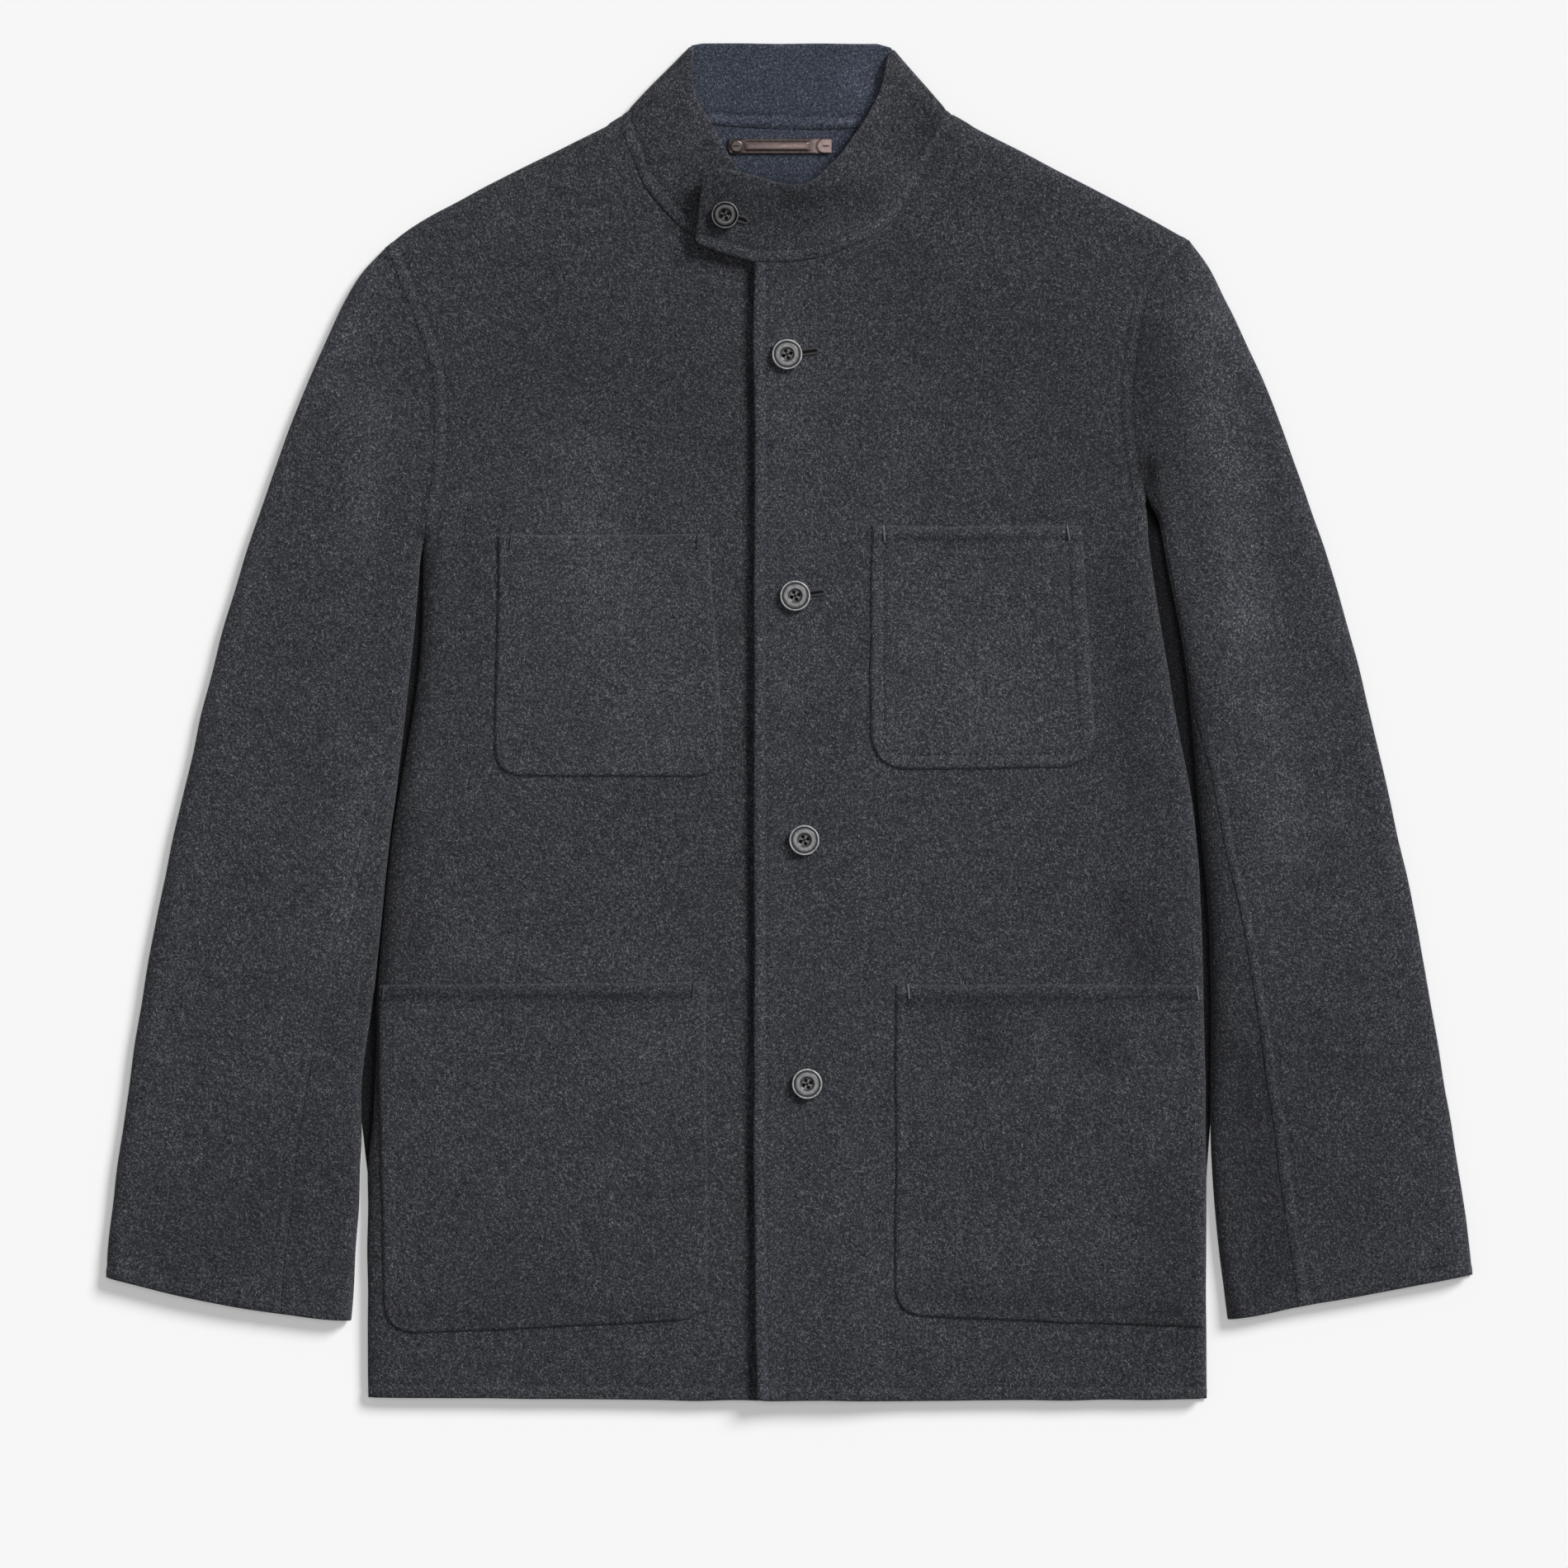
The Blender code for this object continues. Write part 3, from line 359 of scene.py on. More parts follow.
# Buttons: the turned profile as shares of radius and thickness, from the middle of the face to the underside
BUTTON_PROFILE = ((0.0, 0.58), (0.30, 0.59), (0.41, 0.63), (0.455, 0.76), (0.475, 0.84), (0.50, 0.86),
                  (0.62, 0.865), (0.745, 0.86), (0.765, 0.82), (0.775, 0.60), (0.83, 0.56), (0.865, 0.60),
                  (0.88, 0.88), (0.89, 0.97), (0.92, 1.0), (0.955, 0.98), (0.985, 0.91), (1.0, 0.78),
                  (0.985, 0.58), (0.93, 0.34), (0.80, 0.10), (0.60, 0.0), (0.0, 0.0))
BUTTON_THICKNESS = 3.4
BUTTON_SIDES, SHARP_FROM = 80, 42.0
SEAT_SPAN = 0.4
DRILL_PROFILE, DRILL_SIDES = ((0.0, 1.0), (1.0, 1.0), (1.0, -1.0), (0.0, -1.0)), 20
HOLE_RADIUS, HOLE_CIRCLE, HOLE_TURN, HOLE_COUNT = 1.15, 2.2, 20.0, 4
THREAD_RADIUS, THREAD_ABOVE = 0.36, 0.03
THREAD_RISES = (-1.3, -0.35, 0.0, 0.1, 0.15, 0.1, 0.0, -0.35, -1.3)
# Painted light and shade across a button by share of radius: painted highlights on the dish, ring and rim,
# painted shadow at the dish's edge and in the groove; the collar button's are scaled down
BUTTON_TONE_AT = (0.0, 0.36, 0.45, 0.48, 0.745, 0.765, 0.875, 0.89, 0.97, 1.0)
BUTTON_PAINTED_SHADING = (1.7, 1.3, 0.3, 2.7, 2.7, 0.03, 0.03, 6.6, 5.6, 0.8)
BUTTON_SHADE = {"button_collar": 0.32}
# Buttonholes: button, reach past the button's middle, turn in degrees, half width of the slit
BUTTONHOLES = (
    ("button_front_1", 18.2, 8.0, 0.95),
    ("button_front_2", 17.0, 8.0, 0.9),
    ("button_front_3", 8.0, 2.0, 0.5),
    ("button_front_4", 8.0, 2.0, 0.5),
    ("button_collar", 14.0, -2.0, 1.1),
)
BUTTONHOLE_START = -3.0
LIP_RADIUS, LIP_PITCH, LIP_STEP, LIP_BEND_POINTS = 0.75, 0.9, 0.25, 14
LIP_SET, LIP_RISE, LIP_TWIST = 0.6, 0.12, 0.14
SLIT_PAST_END, SLIT_SINK, SLIT_TAPER, SLIT_POINTS = 0.6, 0.55, (1.15, 0.75), 24

# Leather hanger loop
LOOP_LENGTH, LOOP_WIDTH, LOOP_THICKNESS = 60.0, 8.9, 1.5
LOOP_BAR_LENGTH, LOOP_BAR_WIDTH, LOOP_BAR_RISE, LOOP_BAR_SHIFT = 37.0, 4.8, 0.9, -2.0
LOOP_END_RADIUS, LOOP_END_RISE, LOOP_END_SPAN = 4.3, 0.8, 51.0
LOOP_STEP, LOOP_FINER, LOOP_WALL = 0.6, 4.0, 1.2
BAR_STEEPER, BAR_EDGE, BAR_END, BAR_FADE, BAR_ROUND = 1.6, 0.35, 1.0, 1.5, 0.62
DISC_INSET, DISC_FADE, DISC_SHARE, FLAP_FADE = 0.5, 0.8, 0.5, 0.5
# Pressed grooves: what they follow, distance from it, depth and width, then how much darker they are and that
# band's width
LOOP_GROOVES = (
    ("edge", 0.0, 0.35, 0.6, 0.5, 0.7),
    ("bar", 0.35, 0.4, 0.38, 0.75, 0.5),
    ("disc", -0.35, 0.45, 0.35, 0.35, 0.5),
    ("flap", 0.3, 0.35, 0.3, 1.3, 0.45),
)
# Nicks in the disc and the flap, and the tones along the loop, with painted shade in the flap's nick and a
# painted highlight on the bar
FLAP_NICK_AT, DISC_NICK_AT = 0.9, 0.6
NICK_DEPTH, NICK_WIDTH, NICK_HALF, NICK_FADE = 0.5, 0.28, 1.9, 0.7
NICK_DARK, NICK_DARK_WIDTH, NICK_DARK_HALF = 1.6, 0.5, 2.6
LOOP_TONE, LOOP_DARKEST = 0.85, 0.12
DISC_TONE, DISC_TONE_FROM, DISC_TONE_FADE = -0.4, 20.0, 2.0
FLAP_TONE, FLAP_TONE_FROM, FLAP_TONE_FADE, FLAP_TOP_TONE = 1.1, 18.0, 3.0, 0.5
PAINTED_HIGHLIGHT, PAINTED_HIGHLIGHT_AT, PAINTED_HIGHLIGHT_SIZE = 1.1, (7.0, 0.2), (13.0, 1.3)

# Linear colours
CHARCOAL = {"dark": (0.007, 0.0074, 0.010), "mid": (0.035, 0.0368, 0.0445),
            "light": (0.205, 0.207, 0.222)}
NAVY = {"dark": (0.008, 0.012, 0.021), "mid": (0.0415, 0.050, 0.0735), "light": (0.215, 0.230, 0.272)}
LEATHER_DARK, LEATHER_LIGHT = (0.105, 0.066, 0.061), (0.185, 0.130, 0.121)
BUTTON_DARK, BUTTON_LIGHT = (0.040, 0.041, 0.043), (0.105, 0.105, 0.108)
# Thread colours, and the black of the painted shadow in the buttonholes' cuts
THREAD_GREY, THREAD_DARK, SLIT_SHADOW_BLACK = (0.215, 0.216, 0.225), (0.016, 0.016, 0.019), (0.004, 0.004, 0.005)
LIP_GREY = (0.066, 0.064, 0.067)
WOOL_THREAD = (0.075, 0.076, 0.080)
THREAD_DARKER, FLOOR_LIGHTER = 0.55, 1.004

# Fibres of the felt: angle in degrees, width and length in millimetres; the other streaks also have a shift
FIBRES = ((4.0, 0.74, 2.0), (62.0, 0.68, 1.9), (-48.0, 0.72, 1.8), (-84.0, 0.74, 1.7))
FIBRE_SHIFT, STREAK_SHIFT = 0.013, (1.0, 0.7, 0.3)
HORN_STREAKS, THREAD_STREAKS = (35.0, 1.6, 5.0, 0.02), (30.0, 0.25, 0.9, 0.01)
# Ranges of noise, and what they become where that isn't 0 to 1
LIGHT_FIBRES, DARK_FIBRES = (0.58, 0.73), (0.43, 0.30)
MOTTLE, BROAD_MOTTLE = (0.25, 0.75, 0.84, 1.16), (0.25, 0.75, 0.93, 1.07)
CLOUD, HORN_CLOUD, SATIN = (0.3, 0.7), (0.3, 0.75), (0.24, 0.36)

# Camera and light: the photograph's frame, and where the light stands
FRAME_WIDTH = 912.0
FRAME_MIDDLE = (-3.1, -36.0)
CAMERA_HEIGHT, CAMERA_REACH = 9000.0, 100.0
SENSOR = 36.0
KEY_FROM = (0.63, 0.57, 0.55)
KEY_STRENGTH, KEY_ANGLE, KEY_HEIGHT = 3.0, 21.0, 3.0
SKY_STRENGTH = 0.17
SOFTBOX_HEIGHT, SOFTBOX_SIZE, SOFTBOX_POWER = 4.2, 1.5, 26.0
FLOOR_SIZE, FLOOR_DROP = 40.0, 0.0004
FLOOR_COLOUR, FLOOR_GLOW = (0.84, 0.84, 0.84), 0.234

# Cut of each cloth piece: node, flat width, flat length and area in metres, and what it rests on
CUTS = (
    ("back", 0.49, 0.745, 0.332, ()),
    ("front_left", 0.262, 0.745, 0.172, ("front_right", "back")),
    ("front_right", 0.266, 0.745, 0.173, ("back",)),
    ("sleeve_left_top", 0.16, 0.62, 0.058, ("sleeve_left_under",)),
    ("sleeve_left_under", 0.21, 0.625, 0.076, ()),
    ("sleeve_right_top", 0.16, 0.62, 0.060, ("sleeve_right_under",)),
    ("sleeve_right_under", 0.21, 0.625, 0.078, ()),
    ("collar", 0.48, 0.052, 0.0215, ("front_left", "front_right")),
    ("pocket_chest_left", 0.134, 0.142, 0.018, ("front_left",)),
    ("pocket_chest_right", 0.136, 0.142, 0.018, ("front_right",)),
    ("pocket_hip_left", 0.182, 0.2, 0.036, ("front_left",)),
    ("pocket_hip_right", 0.194, 0.206, 0.039, ("front_right",)),
)


def ease(value):
    """Smooth step from 0 to 1."""
    share = np.clip(value, 0.0, 1.0)
    return share * share * (3.0 - 2.0 * share)


def bell(value):
    """Soft hill of height 1 that fades beyond 1."""
    return np.exp(-np.square(value))


def waves(x, y, long_x, long_y, shift=0.0):
    """Uneven smooth waves with hills of about the given lengths."""
    grid_x = x / long_x + LATTICE_START[0] + shift
    grid_y = y / long_y + LATTICE_START[1] + LATTICE_SHIFT_UP * shift
    column, row = np.floor(grid_x).astype(int), np.floor(grid_y).astype(int)
    part_x, part_y = ease(grid_x - column), ease(grid_y - row)

    def level(up):
        near, far = (LATTICE[(column + step) % LATTICE_SIZE, (row + up) % LATTICE_SIZE] for step in (0, 1))
        return near * (1.0 - part_x) + far * part_x

    return level(0) * (1.0 - part_y) + level(1) * part_y


def trace(points, steps=20):
    """Dense polyline of a Catmull-Rom curve through the points."""
    given = np.array(points, dtype=float)
    padded = np.vstack((2.0 * given[0] - given[1], given, 2.0 * given[-1] - given[-2]))
    t = (np.arange(steps) / steps)[:, None]
    runs = [0.5 * (2.0 * start + (end - before) * t + (2.0 * before - 5.0 * start + 4.0 * end - after) * t * t
                   + (3.0 * start - before - 3.0 * end + after) * t ** 3)
            for before, start, end, after in zip(padded, padded[1:], padded[2:], padded[3:])]
    return np.vstack(runs + [given[-1:]])


def run_length(line):
    """Length of a polyline up to each of its points."""
    return np.concatenate(((0.0,), np.cumsum(np.linalg.norm(np.diff(line, axis=0), axis=1))))


def read(line, along, places):
    """Points at places along a polyline whose own points lie at the given lengths."""
    return np.stack([np.interp(places, along, axis) for axis in line.T], axis=-1)


def by_length(line):
    """Function that gives the points of a polyline at shares of its length."""
    line = np.asarray(line, dtype=float)
    along = run_length(line)
    return lambda share: read(line, along / along[-1], share)


def curve(points):
    """Smooth curve through the points, read by share of its length."""
    return by_length(trace(points))


def beside(at, share, gap, span=SPAN):
    """Points at a distance from a curve, on the left of its run."""
    run = at(np.minimum(share + span, 1.0)) - at(np.maximum(share - span, 0.0))
    normal = np.stack((-run[..., 1], run[..., 0]), axis=-1) / np.linalg.norm(run, axis=-1, keepdims=True)
    return at(share) + np.asarray(gap)[..., None] * normal


def joined(first, second, split):
    """Two curves end to end, the first used up to the split."""
    def at(share):
        share = np.asarray(share, dtype=float)
        low = first(np.clip(share / split, 0.0, 1.0))
        high = second(np.clip((share - split) / (1.0 - split), 0.0, 1.0))
        return np.where((share <= split)[..., None], low, high)

    return at


def patch(top, bottom, start, end):
    """Surface filled in between four edges: top and bottom run with u, start and end with v."""
    def at(u, v):
        across, down = u[..., None], v[..., None]
        ruled = (1.0 - down) * top(u) + down * bottom(u) + (1.0 - across) * start(v) + across * end(v)
        return ruled - ((1.0 - across) * (1.0 - down) * top(0.0) + across * (1.0 - down) * top(1.0)
                        + (1.0 - across) * down * bottom(0.0) + across * down * bottom(1.0))

    return at


def gap_to(points, line):
    """Distance from each point to a polyline."""
    flat = points.reshape(-1, 2)
    nearest = np.full(len(flat), np.inf)
    for start, end in zip(line, line[1:]):
        run = end - start
        share = np.clip((flat - start) @ run / (run @ run), 0.0, 1.0)
        nearest = np.minimum(nearest, np.linalg.norm(flat - start - share[:, None] * run, axis=1))
    return nearest.reshape(points.shape[:-1])


def rise(gap, reach=EDGE_ROUND):
    """Rounded climb from 0 at an edge to 1 at the reach."""
    return np.sqrt(1.0 - np.square(1.0 - np.minimum(gap / reach, 1.0)))


def hills(x, y, table):
    """Sum of the table's soft ridges and troughs at each place."""
    places = np.stack((x, y), axis=-1)
    total = np.zeros(np.shape(x))
    for x0, y0, x1, y1, half_width, height in table:
        total += height * bell(gap_to(places, np.array(((x0, y0), (x1, y1)))) / half_width)
    return total


def spaced(length, step, first=True, last=True):
    """Places along a length, close together at the ends asked for."""
    start = EDGE_LINES if first else np.zeros(1)
    end = length - EDGE_LINES[::-1] if last else np.full(1, length)
    count = max(2, round((end[0] - start[-1]) / step))
    return np.concatenate((start, np.linspace(start[-1], end[0], count + 1)[1:-1], end))


def round_corner(a, b, radius):
    """Distances from two edges, changed so that their corner becomes a quarter circle."""
    s, t = np.clip(1.0 - a / radius, 0.0, 1.0), np.clip(1.0 - b / radius, 0.0, 1.0)
    return (a + radius * s * (1.0 - np.sqrt(1.0 - 0.5 * t * t)),
            b + radius * t * (1.0 - np.sqrt(1.0 - 0.5 * s * s)))


def painted_band_shading(gap, tone=BAND_TONE, inset=SEWN_INSET):
    """Painted light between a sewn line and its edge, where the cloth swells, and painted shade in the line
    itself.
    """
    line = LINE_SHARE * tone * bell((gap - inset) / SEWN_WIDTH)
    return tone * bell((gap - 0.5 * inset) / SWELL_WIDTH) - line


def sewn(gap, depth=SEWN_DEPTH, inset=SEWN_INSET):
    """Trough of a sewn line at its inset from an edge, with the cloth swelling between line and edge."""
    trough = -depth * bell((gap - inset) / SEWN_WIDTH)
    return trough + SWELL_HEIGHT * bell((gap - 0.5 * inset) / SWELL_WIDTH)


class Side:
    """Curves and upper heights of one half of the jacket, in (out, up)."""

    def __init__(self, side):
        self.side, self.sign = side, SIGN[side]
        tables = NECK, SHOULDER, ARMHOLE, BODY_SIDE, HEM, CUFF, CENTRE_EDGE
        (self.neck, self.shoulder, self.armhole, self.body_side, self.hem, self.cuff,
         self.centre_edge) = (curve(table[side]) for table in tables)
        self.side_line = trace(BODY_SIDE[side])
        self.sleeve_head = beside(self.armhole, np.linspace(0.0, 1.0, HEAD_POINTS), -ARMHOLE_LAP)[::-1]
        self.inner_line = trace((tuple(self.sleeve_head[0]),) + SLEEVE_INNER[side])
        sleeve_edge = trace((tuple(self.sleeve_head[-1]),) + SLEEVE_OUTER[side])
        self.outer_line = np.vstack((trace(SHOULDER[side])[:-1], sleeve_edge))
        self.inner, self.outer = by_length(self.inner_line), by_length(sleeve_edge)

    def gap(self, points, table):
        """Distance from one of the outlines."""
        return gap_to(points, trace(table[self.side], GAP_STEPS))

    def relief(self, points):
        """Height of ridges, creases and fine ripples."""
        x, y = self.sign * points[..., 0], points[..., 1]
        second = SECOND_RIPPLE * waves(x, y, RIPPLE_UP, 2.0 * RIPPLE_UP, SECOND_RIPPLE_SHIFT)
        ripple = waves(x, y, RIPPLE_ACROSS, RIPPLE_UP) + second
        return hills(x, y, RELIEF + CREASES) + RIPPLE_HEIGHT * ripple

    def front_height(self, points):
        """Upper face of the front."""
        from_side = rise(gap_to(points, self.side_line), SIDE_ROUND[self.side])
        climb = rise(gap_to(points, self.outer_line)) * from_side
        height = REST + (TOP + self.relief(points) - REST) * climb
        if self.side == "left":
            height += LAP * (1.0 - ease((points[..., 0] - LAP_FLAT_TO) / (LAP_GONE_AT - LAP_FLAT_TO)))
        return height

    def lifted(self, points):
        """Upper face of the front, its free centre edge standing a little off the front under it."""
        height = self.front_height(points)
        if self.side == "left":
            height += LAP_EDGE_LIFT * bell(self.gap(points, CENTRE_EDGE) / LAP_EDGE_REACH)
        return height

    def sleeve_height(self, points):
        """Upper face of the sleeve."""
        from_outer = rise(gap_to(points, self.outer_line), OUTER_ROUND[self.side])
        from_inner = rise(gap_to(points, self.inner_line), INNER_ROUND[self.side])
        crown = TOP + self.relief(points) + CUFF_LIFT * bell(self.gap(points, CUFF) / CUFF_LIFT_REACH)
        base = REST + (FOLD - REST) * (1.0 - from_inner) * from_outer
        return base + (crown - base) * from_inner * from_outer

    def side_at(self, up):
        """How far out the body's side is at a height up the jacket."""
        return np.interp(-up, -self.side_line[:, 1], self.side_line[:, 0])

    def world(self, points, height):
        """Points in x, y and z from (out, up) and a height, with the outline's small unevenness."""
        return uneven(np.stack((self.sign * points[..., 0], points[..., 1], height), axis=-1))


def uneven(points):
    """The points with a little drift, the same for all pieces, so that no outline is dead straight."""
    moved, x, y = points.copy(), points[..., 0], points[..., 1]
    for axis, shift in enumerate(WOBBLE_SHIFTS):
        moved[..., axis] += WOBBLE * waves(x, y, WOBBLE_LENGTH, WOBBLE_LENGTH, shift)
    return moved


def grid_normals(points):
    """Unit normals of a grid of points."""
    normal = np.cross(np.gradient(points, axis=1), np.gradient(points, axis=0))
    return normal / np.maximum(np.linalg.norm(normal, axis=2, keepdims=True), TINY)


def edge_gap(points):
    """Distance along the grid from each point to the nearest edge of the grid."""
    across = np.pad(np.cumsum(np.linalg.norm(np.diff(points, axis=1), axis=2), axis=1), ((0, 0), (1, 0)))
    down = np.pad(np.cumsum(np.linalg.norm(np.diff(points, axis=0), axis=2), axis=0), ((1, 0), (0, 0)))
    return np.minimum.reduce((across, across[:, -1:] - across, down, down[-1:] - down))


def quads(grid):
    """Faces of a grid of vertex numbers."""
    return np.stack((grid[:-1, :-1], grid[:-1, 1:], grid[1:, 1:], grid[1:, :-1]), axis=-1).reshape(-1, 4)


def linked(name, data):
    """New object in the scene."""
    made = bpy.data.objects.new(name, data)
    bpy.context.scene.collection.objects.link(made)
    return made


def new_mesh(name, points, faces):
    """Mesh from points and faces."""
    mesh = bpy.data.meshes.new(name)
    mesh.from_pydata(np.asarray(points).tolist(), [], faces)
    return mesh


def add_object(name, points, faces, looks, tones=None, second_look_from=None):
    """Mesh object from points in millimetres."""
    mesh = new_mesh(name, np.asarray(points) * MM, faces)
    for look in looks:
        mesh.materials.append(look)
    if second_look_from is not None:
        numbers = np.zeros(len(faces), dtype=np.int32)
        numbers[second_look_from:] = 1
        mesh.polygons.foreach_set("material_index", numbers)
    # Tone for the looks' base colour, painted light and shade included
    values = np.ones(len(points)) if tones is None else tones
    attribute = mesh.attributes.new("tone", "FLOAT", "POINT")
    attribute.data.foreach_set("value", np.asarray(values, dtype=np.float32))
    mesh.shade_smooth()
    made = linked(name, mesh)
    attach(made, "root")
    return made


def shell(name, outer, looks, up=True, detail=0.0, inner_detail=0.0, thickness=CLOTH, tone=0.0):
    """Closed cloth with an outer face through a grid of points, an inner face under it and a round edge."""
    rows, columns = outer.shape[:2]
    normal = grid_normals(outer)
    flipped = (normal[..., 2].sum() > 0.0) != up
    if flipped:
        normal = -normal
    half = 0.5 * thickness * rise(edge_gap(outer), 0.5 * thickness)
    middle = outer - 0.5 * thickness * normal
    top = middle + (half + detail)[..., None] * normal
    under = middle - (half + inner_detail)[..., None] * normal
    index = np.arange(rows * columns).reshape(rows, columns)
    under_index = index.copy()
    inside = np.arange((rows - 2) * (columns - 2)).reshape(rows - 2, columns - 2)
    under_index[1:-1, 1:-1] = rows * columns + inside
    top[0], top[-1], top[:, 0], top[:, -1] = middle[0], middle[-1], middle[:, 0], middle[:, -1]
    points = np.vstack((top.reshape(-1, 3), under[1:-1, 1:-1].reshape(-1, 3)))
    points[:, 2] = np.maximum(points[:, 2], 0.0)
    upper, lower = quads(index), quads(under_index)[:, ::-1]
    faces = np.vstack((upper, lower))
    if flipped:
        faces = faces[:, ::-1]
    tone = np.broadcast_to(tone, (rows, columns))
    tones = 1.0 + np.concatenate((tone.ravel(), tone[1:-1, 1:-1].ravel()))
    # Painted light and shade from the table, on every cloth piece
    tones += hills(points[:, 0], points[:, 1], PAINTED_SHADING_AND_NAP)
    return add_object(name, points, faces.tolist(), looks, tones, len(upper))


def front(half, looks):
    """One front, from its centre edge to the side, armhole, shoulder and neck."""
    top = joined(half.neck, half.shoulder, NECK_SHARE)
    outer_edge = joined(half.armhole, half.body_side, ARMHOLE_SHARE)
    at = patch(top, half.hem, half.centre_edge, outer_edge)
    across = np.union1d(spaced(BODY_WIDTH, CLOTH_STEP), NECK_SHARE * BODY_WIDTH)
    down = np.union1d(spaced(BODY_HEIGHT, CLOTH_STEP), ARMHOLE_SHARE * BODY_HEIGHT)
    a, b = np.meshgrid(across, BODY_HEIGHT - down)
    centre_corner, side_corner = HEM_CORNER[half.side]
    a, b = round_corner(a, b, centre_corner)
    from_side, b = round_corner(BODY_WIDTH - a, b, side_corner)
    from_side, from_top = round_corner(from_side, BODY_HEIGHT - b, TIP_CORNER)
    plan = at(1.0 - from_side / BODY_WIDTH, from_top / BODY_HEIGHT)
    from_armhole = half.gap(plan, ARMHOLE)
    sewing = sewn(from_armhole) + sewn(half.gap(plan, HEM), DEPTHS["hem"])
    # Painted light beside the armhole's sewn line, painted shade in that line and along the seam
    tone = painted_band_shading(from_armhole) + ARMHOLE_PAINTED_SHADE * bell(from_armhole / ARMHOLE_PAINTED_SHADE_WIDTH)
    if half.side == "left":
        from_edge = half.gap(plan, CENTRE_EDGE)
        sewing += sewn(from_edge, DEPTHS["edge"])
        # Painted light beside the front edge's sewn line and painted shade in it
        tone += painted_band_shading(from_edge, BAND_TONES["edge"])
    else:
        # Painted shade on the body's side where it turns down beside the slit
        by_slit = ease((plan[..., 1] - SIDE_SHADE_FOOT) / SIDE_SHADE_FADE)
        tone -= SIDE_SHADE * by_slit * bell(gap_to(plan, half.side_line) / SIDE_SHADE_WIDTH)
    outer = half.world(plan, half.lifted(plan))
    return shell("cloth_front_" + half.side, outer, looks, detail=sewing, tone=tone)


def seam_share(v):
    """Where the seam of the two sleeve halves lies, as a share of the width."""
    return np.interp(v, *zip(*SLEEVE_SEAM))


def seam_shows(v):
    """How much of that seam shows, from 0 at the armhole to 1."""
    return ease((v - SEAM_SHOWS_FROM) / SEAM_SHOWS_BY)


def sleeve_plan(half):
    """Plan of a sleeve: the point at a distance from the inner fold on a row, and the row's width."""
    def inner(v):
        return half.inner(v ** ROW_CROWDING)

    at = patch(by_length(half.sleeve_head), half.cuff, inner, half.outer)

    def width(v):
        return np.linalg.norm(half.outer(v) - inner(v), axis=-1)

    def point(gap, v):
        nearness = ((1.0 - ease(gap / FOLD_REACH)) * ease(v / FOLD_SETTLES_BY))[..., None]
        return (1.0 - nearness) * at(gap / width(v), v) + nearness * beside(inner, v, gap, FOLD_SPAN)

    return point, width


def sleeve_top(half, looks):
    """Upper half of a sleeve, from the seam by the inner fold to the outer edge."""
    point, width = sleeve_plan(half)
    lines = spaced(SLEEVE_WIDTH, CLOTH_STEP) / SLEEVE_WIDTH
    rows = spaced(SLEEVE_LENGTH, CLOTH_STEP) / SLEEVE_LENGTH
    line, v = np.meshgrid(lines, rows)
    from_outer, from_head = round_corner((1.0 - line) * SLEEVE_WIDTH, v * SLEEVE_LENGTH, TIP_CORNER)
    line, v = 1.0 - from_outer / SLEEVE_WIDTH, from_head / SLEEVE_LENGTH
    start = ease(v / WRAP_FULL) * (seam_share(v) * width(v) - SLEEVE_SEAM_LAP[half.side])
    from_seam = line * (width(v) - start)
    plan = point(start + from_seam, v)
    shows = seam_shows(v)
    sewing = sewn(half.gap(plan, CUFF), DEPTHS["cuff"]) + shows * sewn(from_seam, DEPTHS["sleeve"])
    fade = 1.0 - SEAM_FADE * ease((v - SEAM_FADES_FROM) / SEAM_FADE_SPAN)
    # Painted shade in the sleeve seam, fading towards the cuff, and painted light on the ridge beside it
    tone = shows * fade * SLEEVE_SEAM_PAINTED_SHADE[half.side] * bell(from_seam / SLEEVE_SEAM_WIDTH)
    tone += shows * SLEEVE_BAND_PAINTED_LIGHT * bell((from_seam - SLEEVE_BAND_AT) / SLEEVE_BAND_WIDTH)
    tone += slit_shade(half, gap_to(plan, half.inner_line), v)
    # Painted shade along the armhole seam
    tone += ARMHOLE_PAINTED_SHADE * bell(half.gap(plan, ARMHOLE) / ARMHOLE_PAINTED_SHADE_WIDTH)
    outer = half.world(plan, half.sleeve_height(plan))
    return shell("cloth_sleeve_%s_top" % half.side, outer, looks, detail=sewing, tone=tone)


def slit_shade(half, gap, v):
    """Painted shade on the left sleeve's inner edge, where it leans into the slit beside the body."""
    if half.side == "right":
        return np.zeros(gap.shape)
    ends = ease((v - SLIT_SHADE_FROM) / SLIT_SHADE_FADE) * ease((SLIT_SHADE_TO - v) / SLIT_SHADE_FADE)
    return -SLEEVE_SHADE * bell(gap / SLEEVE_SHADE_WIDTH) * ends


